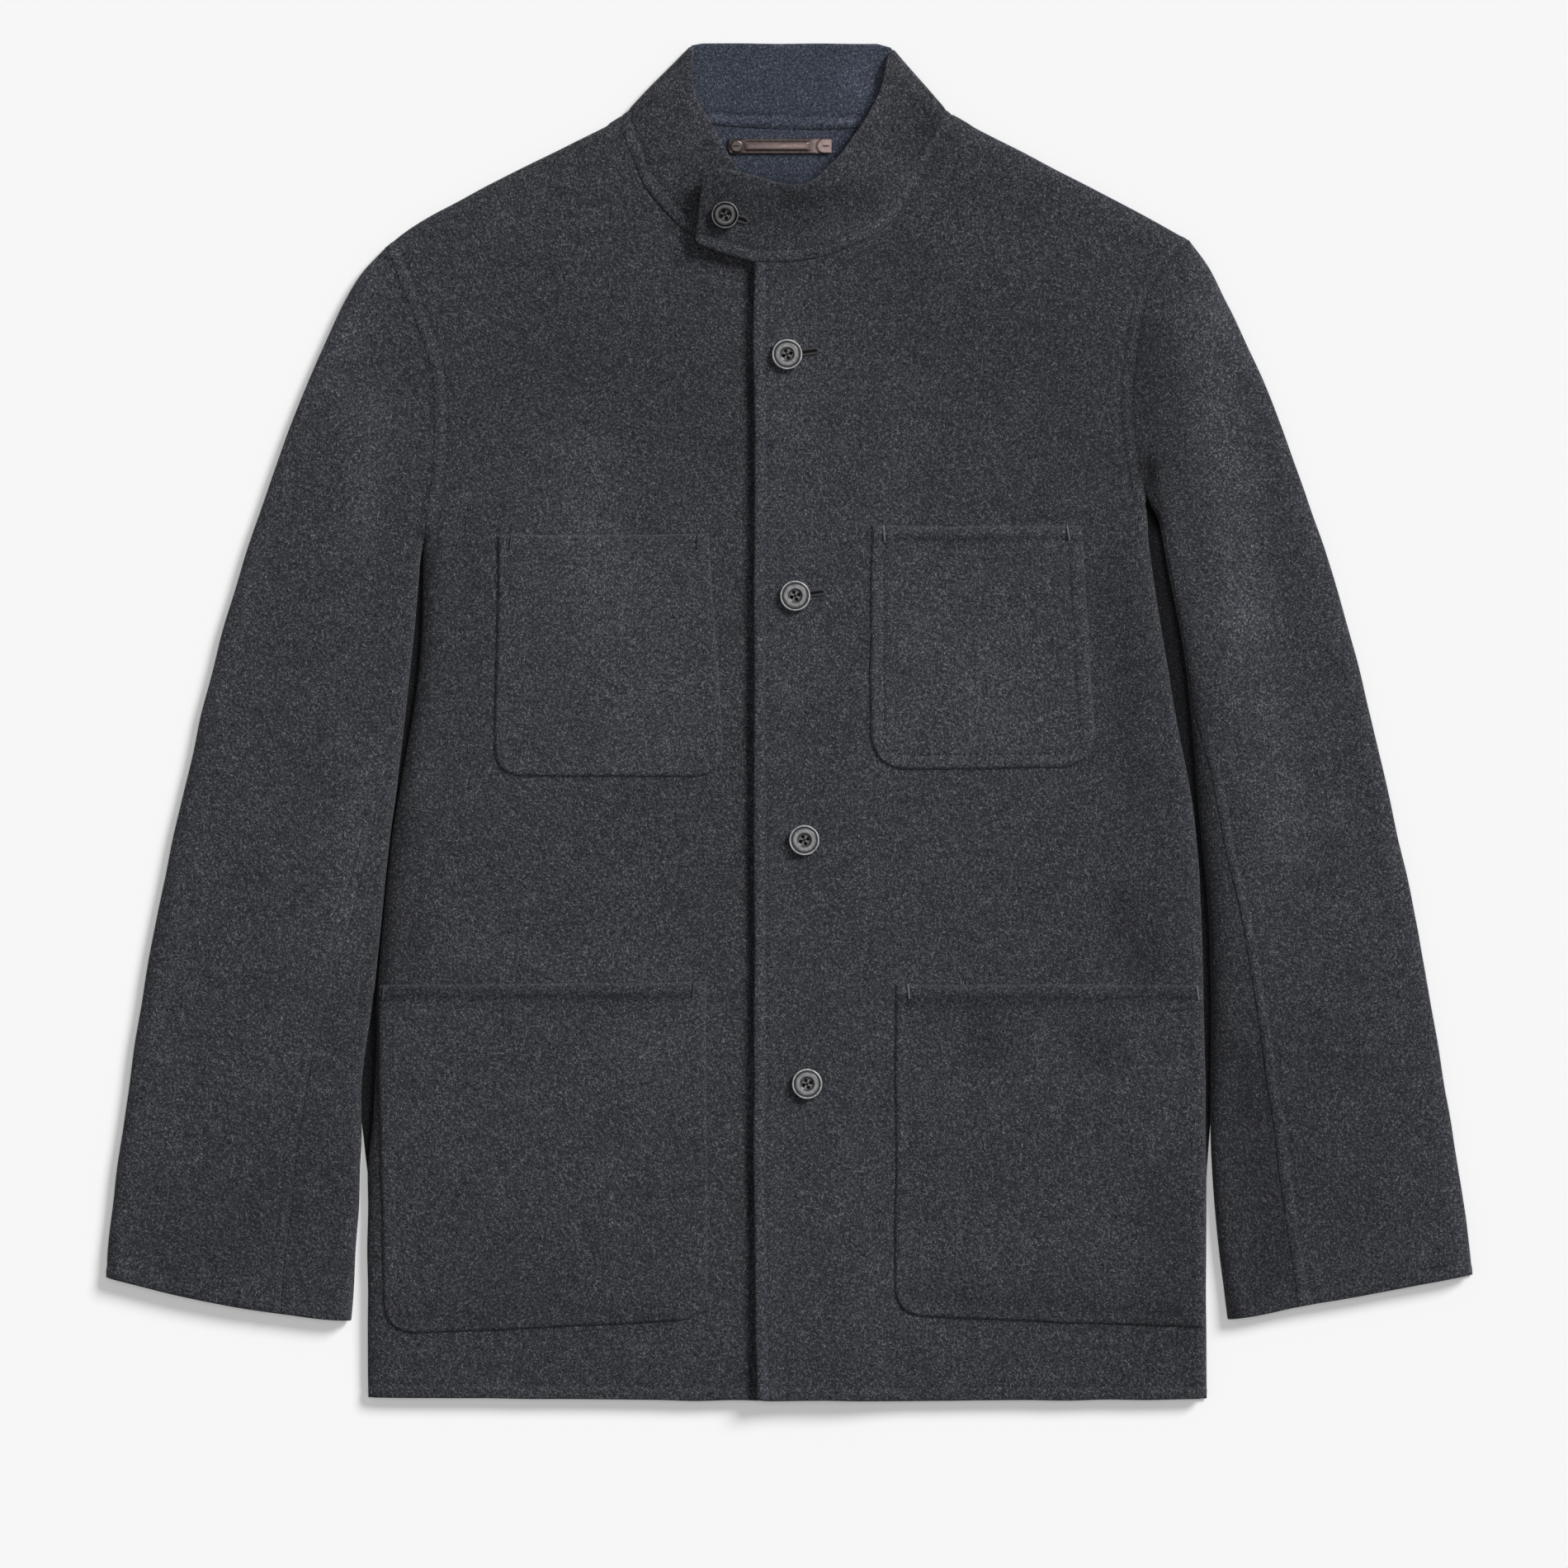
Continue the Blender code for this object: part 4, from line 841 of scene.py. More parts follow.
def sleeve_under(half, looks):
    """Under half of a sleeve: flat below, round the inner fold and up to the seam."""
    point, width = sleeve_plan(half)
    v = spaced(SLEEVE_LENGTH, CLOTH_STEP) / SLEEVE_LENGTH
    wrapped = ease(v / WRAP_FULL)
    reach = seam_share(v) * width(v)
    still = np.zeros(len(v))
    flat = spaced(SLEEVE_WIDTH * (1.0 - UNDER_FLAT_FROM), UNDER_FLAT_STEP, last=False) / SLEEVE_WIDTH
    columns = [half.world(point((1.0 - line) * width(v), v), still) for line in flat]
    tones = [still] * len(flat)
    turns = np.linspace(0.0, 0.5 * math.pi, FOLD_TURNS + 1)
    path = [(still + FOLD * (1.0 - math.sin(turn)), still + FOLD * (1.0 - math.cos(turn))) for turn in turns]
    strip = spaced(SLEEVE_SEAM[-1][1] * SLEEVE_WIDTH, CLOTH_STEP, first=False)[1:]
    path += [(reach * line, half.sleeve_height(point(reach * line, v))) for line in strip / strip[-1]]
    for number, (gap, height) in enumerate(path):
        unrolled = FOLD * (1.0 - number / (len(path) - 1.0))
        place = point(wrapped * gap + (1.0 - wrapped) * unrolled, v)
        columns.append(half.world(place, wrapped * height))
        # Painted shade on the under sleeve's strip, strongest at the seam
        by_seam = UNDER_PAINTED_SHADE_SHARE + (1.0 - UNDER_PAINTED_SHADE_SHARE) * bell((reach - gap) / SLEEVE_SEAM_WIDTH)
        tones.append(slit_shade(half, gap, v) + seam_shows(v) * SLEEVE_SEAM_PAINTED_SHADE[half.side] * by_seam)
    outer, tone = np.stack(columns, axis=1), np.stack(tones, axis=1)
    return shell("cloth_sleeve_%s_under" % half.side, outer, looks, up=False, tone=tone)


def back_edge(half):
    """Outer edge of the back from the shoulder's tip to the hem, in x and y."""
    closed_above = SLIT_CLOSED_ABOVE[half.side]
    slit = half.inner_line[SLIT_STARTS_AT:] - np.array((SLIT_INSET, 0.0))
    slit = slit[slit[:, 1] > closed_above]
    side = half.side_line[half.side_line[:, 1] < closed_above - SLIT_POINT]
    return by_length(np.vstack((trace(ARMHOLE[half.side]), slit, side)) * np.array((half.sign, 1.0)))


def back(halves, looks):
    """The back, one flat panel that lies on the floor with its inner face up."""
    mirror = np.array((-1.0, 1.0))
    shoulders = [trace(SHOULDER["right"])[::-1] * mirror, trace(BACK_NECK)[::-1], trace(SHOULDER["left"])]
    hem = [trace(HEM["right"])[::-1] * mirror, trace(HEM["left"])]
    edges = [back_edge(halves[side]) for side in ("right", "left")]
    at = patch(by_length(np.vstack(shoulders)), by_length(np.vstack(hem)), *edges)
    across = spaced(2.0 * BODY_WIDTH, BACK_STEP) / (2.0 * BODY_WIDTH)
    plan = at(*np.meshgrid(across, spaced(BODY_HEIGHT, BACK_STEP) / BODY_HEIGHT))
    outer = uneven(np.concatenate((plan, np.full(plan.shape[:2] + (1,), CLOTH)), axis=-1))
    # Painted shade on the back where it shows in the slits
    made = shell("cloth_back", outer, looks, tone=SLIT_PAINTED_SHADE * past_sides(halves, plan[..., 0], plan[..., 1]))
    faces = made.data.polygons
    centres = np.zeros(3 * len(faces), dtype=np.float32)
    faces.foreach_get("center", centres)
    x, y, _ = centres.reshape(-1, 3).T / MM
    numbers = np.zeros(len(faces), dtype=np.int32)
    faces.foreach_get("material_index", numbers)
    numbers[past_sides(halves, x, y) > 0.0] = 1
    faces.foreach_set("material_index", numbers)
    return made


def past_sides(halves, x, y):
    """How far places of the back lie past the fronts' sides, up to 1 at the cloth that turns outwards."""
    past = np.zeros(np.shape(x))
    for half in halves.values():
        share = ease((half.sign * x - half.side_at(y) + PAST_SIDE_INSET) / PAST_SIDE_FADE)
        past = np.maximum(past, np.where(y < half.side_line[0, 1] + PAST_SIDE_INSET, share, 0.0))
    return past


def collar_ends(seam, free, seam_height, free_height, lap=COLLAR_SEAM_LAP):
    """Seam end and free end of the collar's sections, with the seam's lap."""
    run = free - seam
    start = seam - np.broadcast_to(lap, len(run))[:, None] * run / np.linalg.norm(run, axis=1)[:, None]
    return np.column_stack((start, seam_height)), np.column_stack((free, free_height))


def collar_front(half, lines, edge_share):
    """Ends of the collar's sections on one front, from the centre towards the fold at the neck's side."""
    seam, free = half.neck(lines), curve(COLLAR_EDGE[half.side])(edge_share)
    settle = ease((lines - LEAN_KEPT_TO) / (1.0 - LEAN_KEPT_TO))
    lifted = half.front_height(seam) + (1.0 - settle) * COLLAR_SEAM_LIFT[half.side]
    height = np.maximum(lifted, COLLAR_FOLD_HEIGHT)
    folds = ease((lines - FOLD_LAP_FROM) / (1.0 - FOLD_LAP_FROM))
    lap = COLLAR_SEAM_LAP + (COLLAR_FOLD_LAP - COLLAR_SEAM_LAP) * folds
    lean = (1.0 - settle) * COLLAR_LEAN[half.side] + settle * COLLAR_FOLD_LEAN
    mirror = np.array((half.sign, 1.0))
    return collar_ends(seam * mirror, free * mirror, height, height + lean, lap)


def collar_turn(side):
    """Ends of the sections round the fold at one side of the neck, from the front down to the back."""
    seam, free = np.reshape(COLLAR_FOLD[side], (2, 2))
    run = (free - seam) / np.linalg.norm(free - seam)
    outward = SIGN[side] * np.array((run[1], -run[0]))
    angle = np.linspace(0.0, math.pi, COLLAR_TURN_STEPS)
    ends, heights = [], []
    for place, size in ((seam, COLLAR_FOLD_HEIGHT), (free, COLLAR_FOLD_HEIGHT + COLLAR_FOLD_LEAN)):
        ends.append(place + outward * (0.5 * size * (np.sin(angle) - 1.0))[:, None])
        heights.append(0.5 * size * (1.0 + np.cos(angle)))
    return collar_ends(*ends, *heights, COLLAR_FOLD_LAP)


def collar_rails(halves):
    """Seam rail and free rail of the whole collar, from the tab round the back to the underlap."""
    tab = np.array(TAB)
    tab_height = np.full(len(tab), TOP + LAP)
    parts = [collar_ends(tab[:, :2], tab[:, 2:], tab_height, tab_height + COLLAR_LEAN["left"])]
    lines = np.linspace(0.0, COLLAR_FRONT_END, COLLAR_SECTIONS["left"])
    parts.append(collar_front(halves["left"], lines, lines))
    turns = {side: collar_turn(side) for side in SIGN}
    tips = {side: (turns[side][0][-1:], np.array(((*COLLAR_TIPS[side], 0.0),))) for side in SIGN}
    neck = curve(BACK_NECK)(np.array(COLLAR_BACK_LINES))
    free = np.linspace((COLLAR_TOP_HALF, COLLAR_TOP_EDGE), (-COLLAR_TOP_HALF, COLLAR_TOP_EDGE), len(neck))
    flat = np.zeros(len(neck))
    parts += [turns["left"], tips["left"], collar_ends(neck, free, flat, flat), tips["right"]]
    parts.append([rail[::-1] for rail in turns["right"]])
    lines = np.linspace(COLLAR_FRONT_END, UNDERLAP_END, COLLAR_SECTIONS["right"])
    parts.append(collar_front(halves["right"], lines, (lines - UNDERLAP_END) / (1.0 - UNDERLAP_END)))
    return [np.vstack(rail) for rail in zip(*parts)]


def collar_surface(halves):
    """Function that gives the collar's outer face at a length along it and a height up it, and its length."""
    low, high = collar_rails(halves)
    along = run_length(0.5 * (low + high))

    def at(length, up):
        share = (up / COLLAR_WIDTH)[..., None]
        points = (1.0 - share) * read(low, along, length) + share * read(high, along, length)
        standing = ease(points[..., 2] / COLLAR_FOLD_HEIGHT)
        bulge = COLLAR_BULGE * np.sin(math.pi * up / COLLAR_WIDTH) * ease(length / COLLAR_WIDTH)
        points[..., 2] += standing * bulge + TAB_LIFT * (1.0 - ease(length / TAB_LIFT_REACH))
        return points

    return at, along[-1]


def collar(halves, looks):
    """Stand collar, one band from the tab round the back of the neck to the underlap."""
    at, length = collar_surface(halves)
    lines = spaced(length, COLLAR_STEP), spaced(COLLAR_WIDTH, COLLAR_STEP_ACROSS)
    along, up = np.meshgrid(*lines, indexing="ij")
    near_end, up = round_corner(along, up, TAB_CORNER)
    near_end, from_top = round_corner(near_end, COLLAR_WIDTH - up, TAB_CORNER)
    up = COLLAR_WIDTH - from_top
    sewing = sewn(up, DEPTHS["collar"]) + sewn(near_end, DEPTHS["tab"])
    dark = ease((along / length - COLLAR_SEAM_DARK_FROM) / COLLAR_SEAM_DARK_BY)
    # Painted light beside the collar's sewn line and along its rolled free edge, painted shade in the line
    tone = painted_band_shading(up, BAND_TONES["collar"]) + FREE_EDGE_PAINTED_LIGHT * bell((COLLAR_WIDTH - up) / SWELL_WIDTH)
    # Painted shadow along the collar's seam
    tone += dark * COLLAR_SEAM_PAINTED_SHADOW * bell(up / COLLAR_SEAM_PAINTED_SHADOW_WIDTH)
    return shell("cloth_collar", uneven(at(near_end, up)), looks, detail=sewing,
                 inner_detail=sewn(up, DEPTHS["inside"]), tone=tone)


def pocket_surface(name, halves):
    """Function that gives a pocket's outer face at distances across it and up it, and its width and depth."""
    side, *corners, radius_in, radius_out = POCKETS[name]
    half = halves[side]
    _, edge_share, _, _, fade = POCKET_LOOK[name]
    top_in, top_out, low_in, low_out = (np.array(corner) for corner in corners)
    depth, width = top_in[1] - low_in[1], low_out[0] - low_in[0]

    def plan(across, up):
        across, up = round_corner(across, up, radius_in)
        from_out, up = round_corner(width - across, up, radius_out)
        u, v = (1.0 - from_out / width)[..., None], (1.0 - up / depth)[..., None]
        place = (1.0 - v) * ((1.0 - u) * top_in + u * top_out) + v * ((1.0 - u) * low_in + u * low_out)
        limit = half.side_at(place[..., 1]) - POCKET_EDGE_INSET * (2.0 - u[..., 0])
        if name == "pocket_hip_left":
            limit += MOUTH_CORNER_OUT * bell((depth - up) / MOUTH_CORNER_REACH)
        place[..., 0] = np.minimum(place[..., 0], limit)
        return place

    def at(across, up):
        place = plan(across, up)
        height = half.front_height(place)
        slopes = [(half.front_height(place + step) - height) / SLOPE_STEP for step in SLOPE_STEP * np.eye(2)]
        normal = np.stack((-slopes[0], -slopes[1], np.ones(height.shape)), axis=-1)
        from_edge = np.minimum.reduce((across, width - across, up, depth - up))
        at_edge = edge_share * (1.0 - fade * ease((across / width - POCKET_FADE_FROM) / POCKET_FADE))
        at_edge = at_edge * (1.0 - MOUTH_SINK * bell((depth - up) / MOUTH_SINK_REACH))
        above = (POCKET_GAP + CLOTH) * (at_edge + (1.0 - at_edge) * ease(from_edge / POCKET_EDGE_REACH))
        normal = normal / np.linalg.norm(normal, axis=-1, keepdims=True) * above[..., None]
        lift = POCKET_MOUTH_LIFT * bell((depth - up) / POCKET_MOUTH_REACH)
        return half.world(place + normal[..., :2], height + normal[..., 2] + lift)

    return at, width, depth


def pocket(name, halves, looks):
    """Patch pocket that follows the front under it."""
    at, width, depth = pocket_surface(name, halves)
    across, up = np.meshgrid(spaced(width, POCKET_STEP), spaced(depth, POCKET_STEP)[::-1])
    # The pocket's tone is painted light on the chest pockets
    tone, _, picked, mouth, _ = POCKET_LOOK[name]
    sides = np.minimum(np.minimum(across, width - across), up)
    # Painted light beside the pick stitching and the mouth, and painted shade in their lines
    tone = tone + picked * painted_band_shading(sides, BAND_TONES["pocket"], PICK_INSET)
    tone += mouth * painted_band_shading(depth - up, BAND_TONES["mouth"], PICK_INSET)
    sewing = picked * sewn(sides, DEPTHS["pocket"], PICK_INSET)
    sewing -= mouth * MOUTH_DEPTH * bell((depth - up - PICK_INSET) / MOUTH_WIDTH)
    return shell("cloth_" + name, at(across, up), looks, detail=sewing, tone=tone)


def tube(path, radius, sides=6):
    """Points and faces of a closed tube along a path that isn't upright."""
    path = np.asarray(path, dtype=float)
    run = np.gradient(path, axis=0)
    run = run / np.linalg.norm(run, axis=1)[:, None]
    side = np.cross(run, (0.0, 0.0, 1.0))
    side = side / np.linalg.norm(side, axis=1)[:, None]
    up = np.cross(side, run)
    angle = 2.0 * math.pi * np.arange(sides) / sides
    ring = side[:, None] * np.cos(angle)[None, :, None] + up[:, None] * np.sin(angle)[None, :, None]
    points = path[:, None] + ring * np.broadcast_to(radius, len(path))[:, None, None]
    index = np.arange(len(path) * sides).reshape(len(path), sides)
    faces = quads(np.concatenate((index, index[:, :1]), axis=1)).tolist()
    return points.reshape(-1, 3), faces + [index[0].tolist()[::-1], index[-1].tolist()]


def joined_piece(name, parts, look):
    """One object from many small meshes."""
    points, faces, count = [], [], 0
    for part_points, part_faces in parts:
        points.append(part_points)
        faces += [[number + count for number in face] for face in part_faces]
        count += len(part_points)
    return add_object(name, np.vstack(points), faces, [look])


def stitches(line, length, radius, sink):
    """Short threads along a line of points on the cloth, their ends drawn into it."""
    at, total = by_length(line), run_length(line)[-1]
    shares, rises, taper = np.transpose(STITCH_FORM)
    parts = []
    for middle in np.arange(0.5 * STITCH_PITCH, total, STITCH_PITCH):
        path = at((middle + length * shares) / total)
        path[:, 2] += radius * rises - sink
        parts.append(tube(path, radius * taper))
    return parts


def pocket_stitches(halves):
    """Pick stitches round the sides and foot of each pocket."""
    parts = []
    for name in POCKETS:
        at, width, depth = pocket_surface(name, halves)
        down = np.array(((0.0, depth - PICK_INSET), (0.0, 0.5 * depth), (0.0, PICK_INSET + PICK_CORNER),
                         (PICK_CUT, PICK_INSET + PICK_CUT), (PICK_CORNER, PICK_INSET)))
        far_side = down[::-1] * np.array((-1.0, 1.0)) + np.array((width - PICK_INSET, 0.0))
        line = np.vstack((down + np.array((PICK_INSET, 0.0)), far_side))
        parts += stitches(at(*by_length(line)(np.linspace(0.0, 1.0, PICK_POINTS)).T), *PICK_STITCH)
    return parts


def front_stitches(halves):
    """Fine stitches along the armholes, the hem and the front edge."""
    parts = []
    lines = np.linspace(*FINE_LINE)
    for half in halves.values():
        plans = [beside(half.armhole, lines, -SEWN_INSET), half.hem(lines) + np.array((0.0, SEWN_INSET))]
        if half.side == "left":
            plans.append(half.centre_edge(lines) + np.array((SEWN_INSET, 0.0)))
        for plan in plans:
            parts += stitches(half.world(plan, half.lifted(plan)), *FINE_STITCH)
    return parts


def collar_stitches(halves):
    """Fine stitches above the collar's seam."""
    at, length = collar_surface(halves)
    along = np.linspace(SEWN_INSET, COLLAR_STITCHED_TO * length, COLLAR_STITCH_POINTS)
    return stitches(uneven(at(along, np.full(len(along), SEWN_INSET))), *COLLAR_STITCH)


def bar_tacks(halves, names):
    """Short dense bars at the mouth corners of the named pockets."""
    parts = []
    bumps = 1.0 + TACK_BUMP * np.cos(np.arange(TACK_POINTS) * math.pi)
    for name in names:
        at, width, depth = pocket_surface(name, halves)
        far = TACK_INSET_HIP if "hip" in name else TACK_INSET_CHEST
        for across in (TACK_INSET, width - far):
            down = np.linspace(TACK_START, TACK_LENGTH, TACK_POINTS)
            path = at(across + TACK_LEAN * down, depth - down)
            path[:, 2] += TACK_RISE
            parts.append(tube(path, TACK_RADIUS * bumps, ROUND_SIDES))
    return parts


def cloth_round_button(name, halves):
    """Function that gives the cloth's outer face at steps from a button's middle, and its diameter."""
    low, high = (np.array(corner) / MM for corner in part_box(name))

    def on_front(steps):
        plan = 0.5 * (low + high)[:2] + steps
        return halves["left"].world(plan, halves["left"].lifted(plan))

    def on_tab(steps):
        return uneven(collar_surface(halves)[0](*(np.array(TAB_BUTTON) + steps).T))

    return on_tab if name == "button_collar" else on_front, high[0] - low[0]


def button_seat(name, halves):
    """Middle of a button's underside, the direction that its face looks in, and its diameter."""
    at, diameter = cloth_round_button(name, halves)
    step = SEAT_SPAN * diameter
    place, right, above = at(np.array(((0.0, 0.0), (step, 0.0), (0.0, step))))
    normal = np.cross(right - place, above - place)
    normal = normal / np.linalg.norm(normal)
    return place + SEAM * normal, normal, diameter


def turned(profile, radius, thickness, sides):
    """Points and faces of a turned solid whose profile starts and ends on the axis."""
    angle = 2.0 * math.pi * np.arange(sides) / sides
    points = [np.array(((0.0, 0.0, profile[0][1] * thickness),))]
    for share, level in profile[1:-1]:
        size, height = share * radius, np.full(sides, level * thickness)
        points.append(np.column_stack((size * np.cos(angle), size * np.sin(angle), height)))
    points.append(np.array(((0.0, 0.0, profile[-1][1] * thickness),)))
    points = np.vstack(points)
    index = 1 + np.arange(len(points) - 2).reshape(-1, sides)
    index = np.concatenate((index, index[:, :1]), axis=1)
    faces = quads(index)[:, ::-1].tolist()
    faces += [[0, int(a), int(b)] for a, b in zip(index[0], index[0][1:])]
    return points, faces + [[len(points) - 1, int(b), int(a)] for a, b in zip(index[-1], index[-1][1:])]


def drilled(points, faces, holes, radius):
    """Points and faces of a solid with round holes drilled through it along its axis."""
    solid = linked("button_form", new_mesh("button_form", points, faces))
    drill_points, drill_faces = turned(DRILL_PROFILE, radius, 2.0 * BUTTON_THICKNESS, DRILL_SIDES)
    drills = []
    for hole in holes:
        drills.append(linked("drill", new_mesh("drill", drill_points + np.array((*hole, 0.0)), drill_faces)))
        cut = solid.modifiers.new("hole", "BOOLEAN")
        cut.operation = "DIFFERENCE"
        cut.object = drills[-1]
    result = bpy.data.meshes.new_from_object(solid.evaluated_get(bpy.context.evaluated_depsgraph_get()))
    made_points = np.array([vertex.co for vertex in result.vertices])
    made_faces = [list(face.vertices) for face in result.polygons]
    for extra in drills + [solid]:
        bpy.data.objects.remove(extra, do_unlink=True)
    return made_points, made_faces


def placed(points, middle, normal):
    """Points of a button's own frame, tilted and set on its seat."""
    spin = Vector((0.0, 0.0, 1.0)).rotation_difference(Vector(normal)).to_matrix()
    return np.asarray(points) @ np.array(spin).T + middle


def buttons(halves, look, thread_look):
    """Turned buttons with a raised rim and dished middle, and the crossed threads that hold them."""
    threads = []
    angles = np.radians(HOLE_TURN + 360.0 / HOLE_COUNT * np.arange(HOLE_COUNT))
    holes = HOLE_CIRCLE * np.column_stack((np.cos(angles), np.sin(angles)))
    level = (BUTTON_PROFILE[0][1] + THREAD_ABOVE) * BUTTON_THICKNESS
    along = np.linspace(0.0, 1.0, len(THREAD_RISES))[:, None]
    for name in [row[0] for row in BUTTONHOLES]:
        middle, normal, diameter = button_seat(name, halves)
        form = turned(BUTTON_PROFILE, 0.5 * diameter, BUTTON_THICKNESS, BUTTON_SIDES)
        points, faces = drilled(*form, holes, HOLE_RADIUS)
        reach = np.hypot(points[:, 0], points[:, 1]) / (0.5 * diameter)
        # Painted highlights and painted shadow across the button, by distance from its middle
        tones = np.interp(reach, BUTTON_TONE_AT, BUTTON_PAINTED_SHADING) * BUTTON_SHADE.get(name, 1.0)
        piece = add_object("dressed_" + name, placed(points, middle, normal), faces, [look], tones)
        piece.data.set_sharp_from_angle(angle=math.radians(SHARP_FROM))
        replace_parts(piece, name)
        for start, end in zip(holes, holes[HOLE_COUNT // 2:]):
            path = np.column_stack(((1.0 - along) * start + along * end, level + np.array(THREAD_RISES)))
            thread_points, thread_faces = tube(path, THREAD_RADIUS)
            threads.append((placed(thread_points, middle, normal), thread_faces))
    joined_piece("button_threads", threads, thread_look)


def buttonholes(halves, lip_look, slit_look):
    """Worked slits that the buttons are through: a thread lip round a black tube, painted shadow in the cut.
    """
    lips, slits = [], []
    for name, reach, degrees, half_width in BUTTONHOLES:
        at, _ = cloth_round_button(name, halves)
        turn = math.radians(degrees)
        axes = np.array(((math.cos(turn), math.sin(turn)), (-math.sin(turn), math.cos(turn))))
        end = reach - half_width - LIP_RADIUS
        bend = np.linspace(0.5 * math.pi, -0.5 * math.pi, LIP_BEND_POINTS)
        offset = half_width + LIP_SET * LIP_RADIUS
        straight = np.arange(BUTTONHOLE_START, end, LIP_STEP)
        side = np.column_stack((straight, np.full(len(straight), offset)))
        round_end = np.column_stack((end + offset * np.cos(bend), offset * np.sin(bend)))
        path = at(np.vstack((side, round_end, side[::-1] * np.array((1.0, -1.0)))) @ axes)
        twist = 1.0 + LIP_TWIST * np.cos(2.0 * math.pi * run_length(path) / LIP_PITCH)
        path[:, 2] += LIP_RISE
        lips.append(tube(path, LIP_RADIUS * twist, ROUND_SIDES))
        # Black tube sunk in the cloth: painted shadow in the cut
        slit_end = end + SLIT_PAST_END * half_width
        path = at(np.linspace((BUTTONHOLE_START, 0.0), (slit_end, 0.0), SLIT_POINTS) @ axes)
        path[:, 2] -= SLIT_SINK * half_width
        slits.append(tube(path, half_width * np.linspace(*SLIT_TAPER, SLIT_POINTS), ROUND_SIDES))
    joined_piece("buttonhole_lips", lips, lip_look)
    joined_piece("buttonhole_slits", slits, slit_look)


def hanger_loop(look):
    """Leather loop: a strip with a padded bar, a pressed disc at one end and a round flap at the other."""
    low, high = (np.array(corner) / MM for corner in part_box("hanger_loop"))
    middle = 0.5 * (low + high)
    along = spaced(LOOP_LENGTH, LOOP_STEP)[1:-1] - 0.5 * LOOP_LENGTH
    across = spaced(LOOP_WIDTH * LOOP_FINER, LOOP_STEP)[1:-1] / LOOP_FINER - 0.5 * LOOP_WIDTH
    x, y = np.meshgrid(along, across)
    bar_x, bar_y = 0.5 * LOOP_BAR_LENGTH - np.abs(x - LOOP_BAR_SHIFT), 0.5 * LOOP_BAR_WIDTH - np.abs(y)
    on_bar = ease((np.minimum(bar_x, bar_y * BAR_STEEPER) + BAR_EDGE) / BAR_FADE)
    left_x, right_x = x + 0.5 * LOOP_END_SPAN, x - 0.5 * LOOP_END_SPAN
    left_end = np.hypot(left_x, y)
    right_end = np.where(right_x < 0.0, np.hypot(right_x, y), np.abs(y))
    flap = ease((LOOP_END_RADIUS - right_end) / FLAP_FADE)
    round_bar = np.sqrt(np.clip(1.0 - np.square(y / (BAR_ROUND * LOOP_BAR_WIDTH)), 0.0, 1.0))
    disc = ease((LOOP_END_RADIUS - DISC_INSET - left_end) / DISC_FADE)
    height = LOOP_THICKNESS + LOOP_BAR_RISE * on_bar * round_bar + LOOP_END_RISE * (DISC_SHARE * disc + flap)
    tone = LOOP_TONE + DISC_TONE * ease((-DISC_TONE_FROM - x) / DISC_TONE_FADE)
    tone += FLAP_TONE * ease((x - FLAP_TONE_FROM) / FLAP_TONE_FADE) + FLAP_TOP_TONE * flap
    # Painted highlight on the padded bar
    tone += PAINTED_HIGHLIGHT * on_bar * bell((x - PAINTED_HIGHLIGHT_AT[0]) / PAINTED_HIGHLIGHT_SIZE[0]) * bell((y - PAINTED_HIGHLIGHT_AT[1]) / PAINTED_HIGHLIGHT_SIZE[1])
    beside_bar = ease((bar_x + BAR_END) / BAR_FADE)
    fields = {"edge": (0.5 * LOOP_WIDTH - np.abs(y), 1.0), "bar": (-bar_y, beside_bar),
              "disc": (left_end - LOOP_END_RADIUS, 1.0), "flap": (right_end - LOOP_END_RADIUS, 1.0)}
    for name, place, depth, width, darker, dark_width in LOOP_GROOVES:
        gap, share = fields[name]
        height -= depth * bell((gap - place) / width) * share
        tone -= darker * bell((gap - place) / dark_width) * share
    for nick_x in (right_x - FLAP_NICK_AT, left_x + DISC_NICK_AT):
        height -= NICK_DEPTH * bell(y / NICK_WIDTH) * ease((NICK_HALF - np.abs(nick_x)) / NICK_FADE)
    # Painted shade in the flap's nick
    in_nick = ease((NICK_DARK_HALF - np.abs(right_x - FLAP_NICK_AT)) / NICK_FADE)
    tone -= NICK_DARK * flap * bell(y / NICK_DARK_WIDTH) * in_nick
    tone = np.maximum(tone, LOOP_DARKEST)
    outer = np.stack((x + middle[0], y + middle[1], height + low[2]), axis=-1)
    made = shell("leather_loop", outer, [look, look], thickness=LOOP_WALL)
    values = np.ones(len(made.data.vertices), dtype=np.float32)
    values[:tone.size] = tone.ravel()
    made.data.attributes["tone"].data.foreach_set("value", values)
    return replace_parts(made, "hanger_loop")


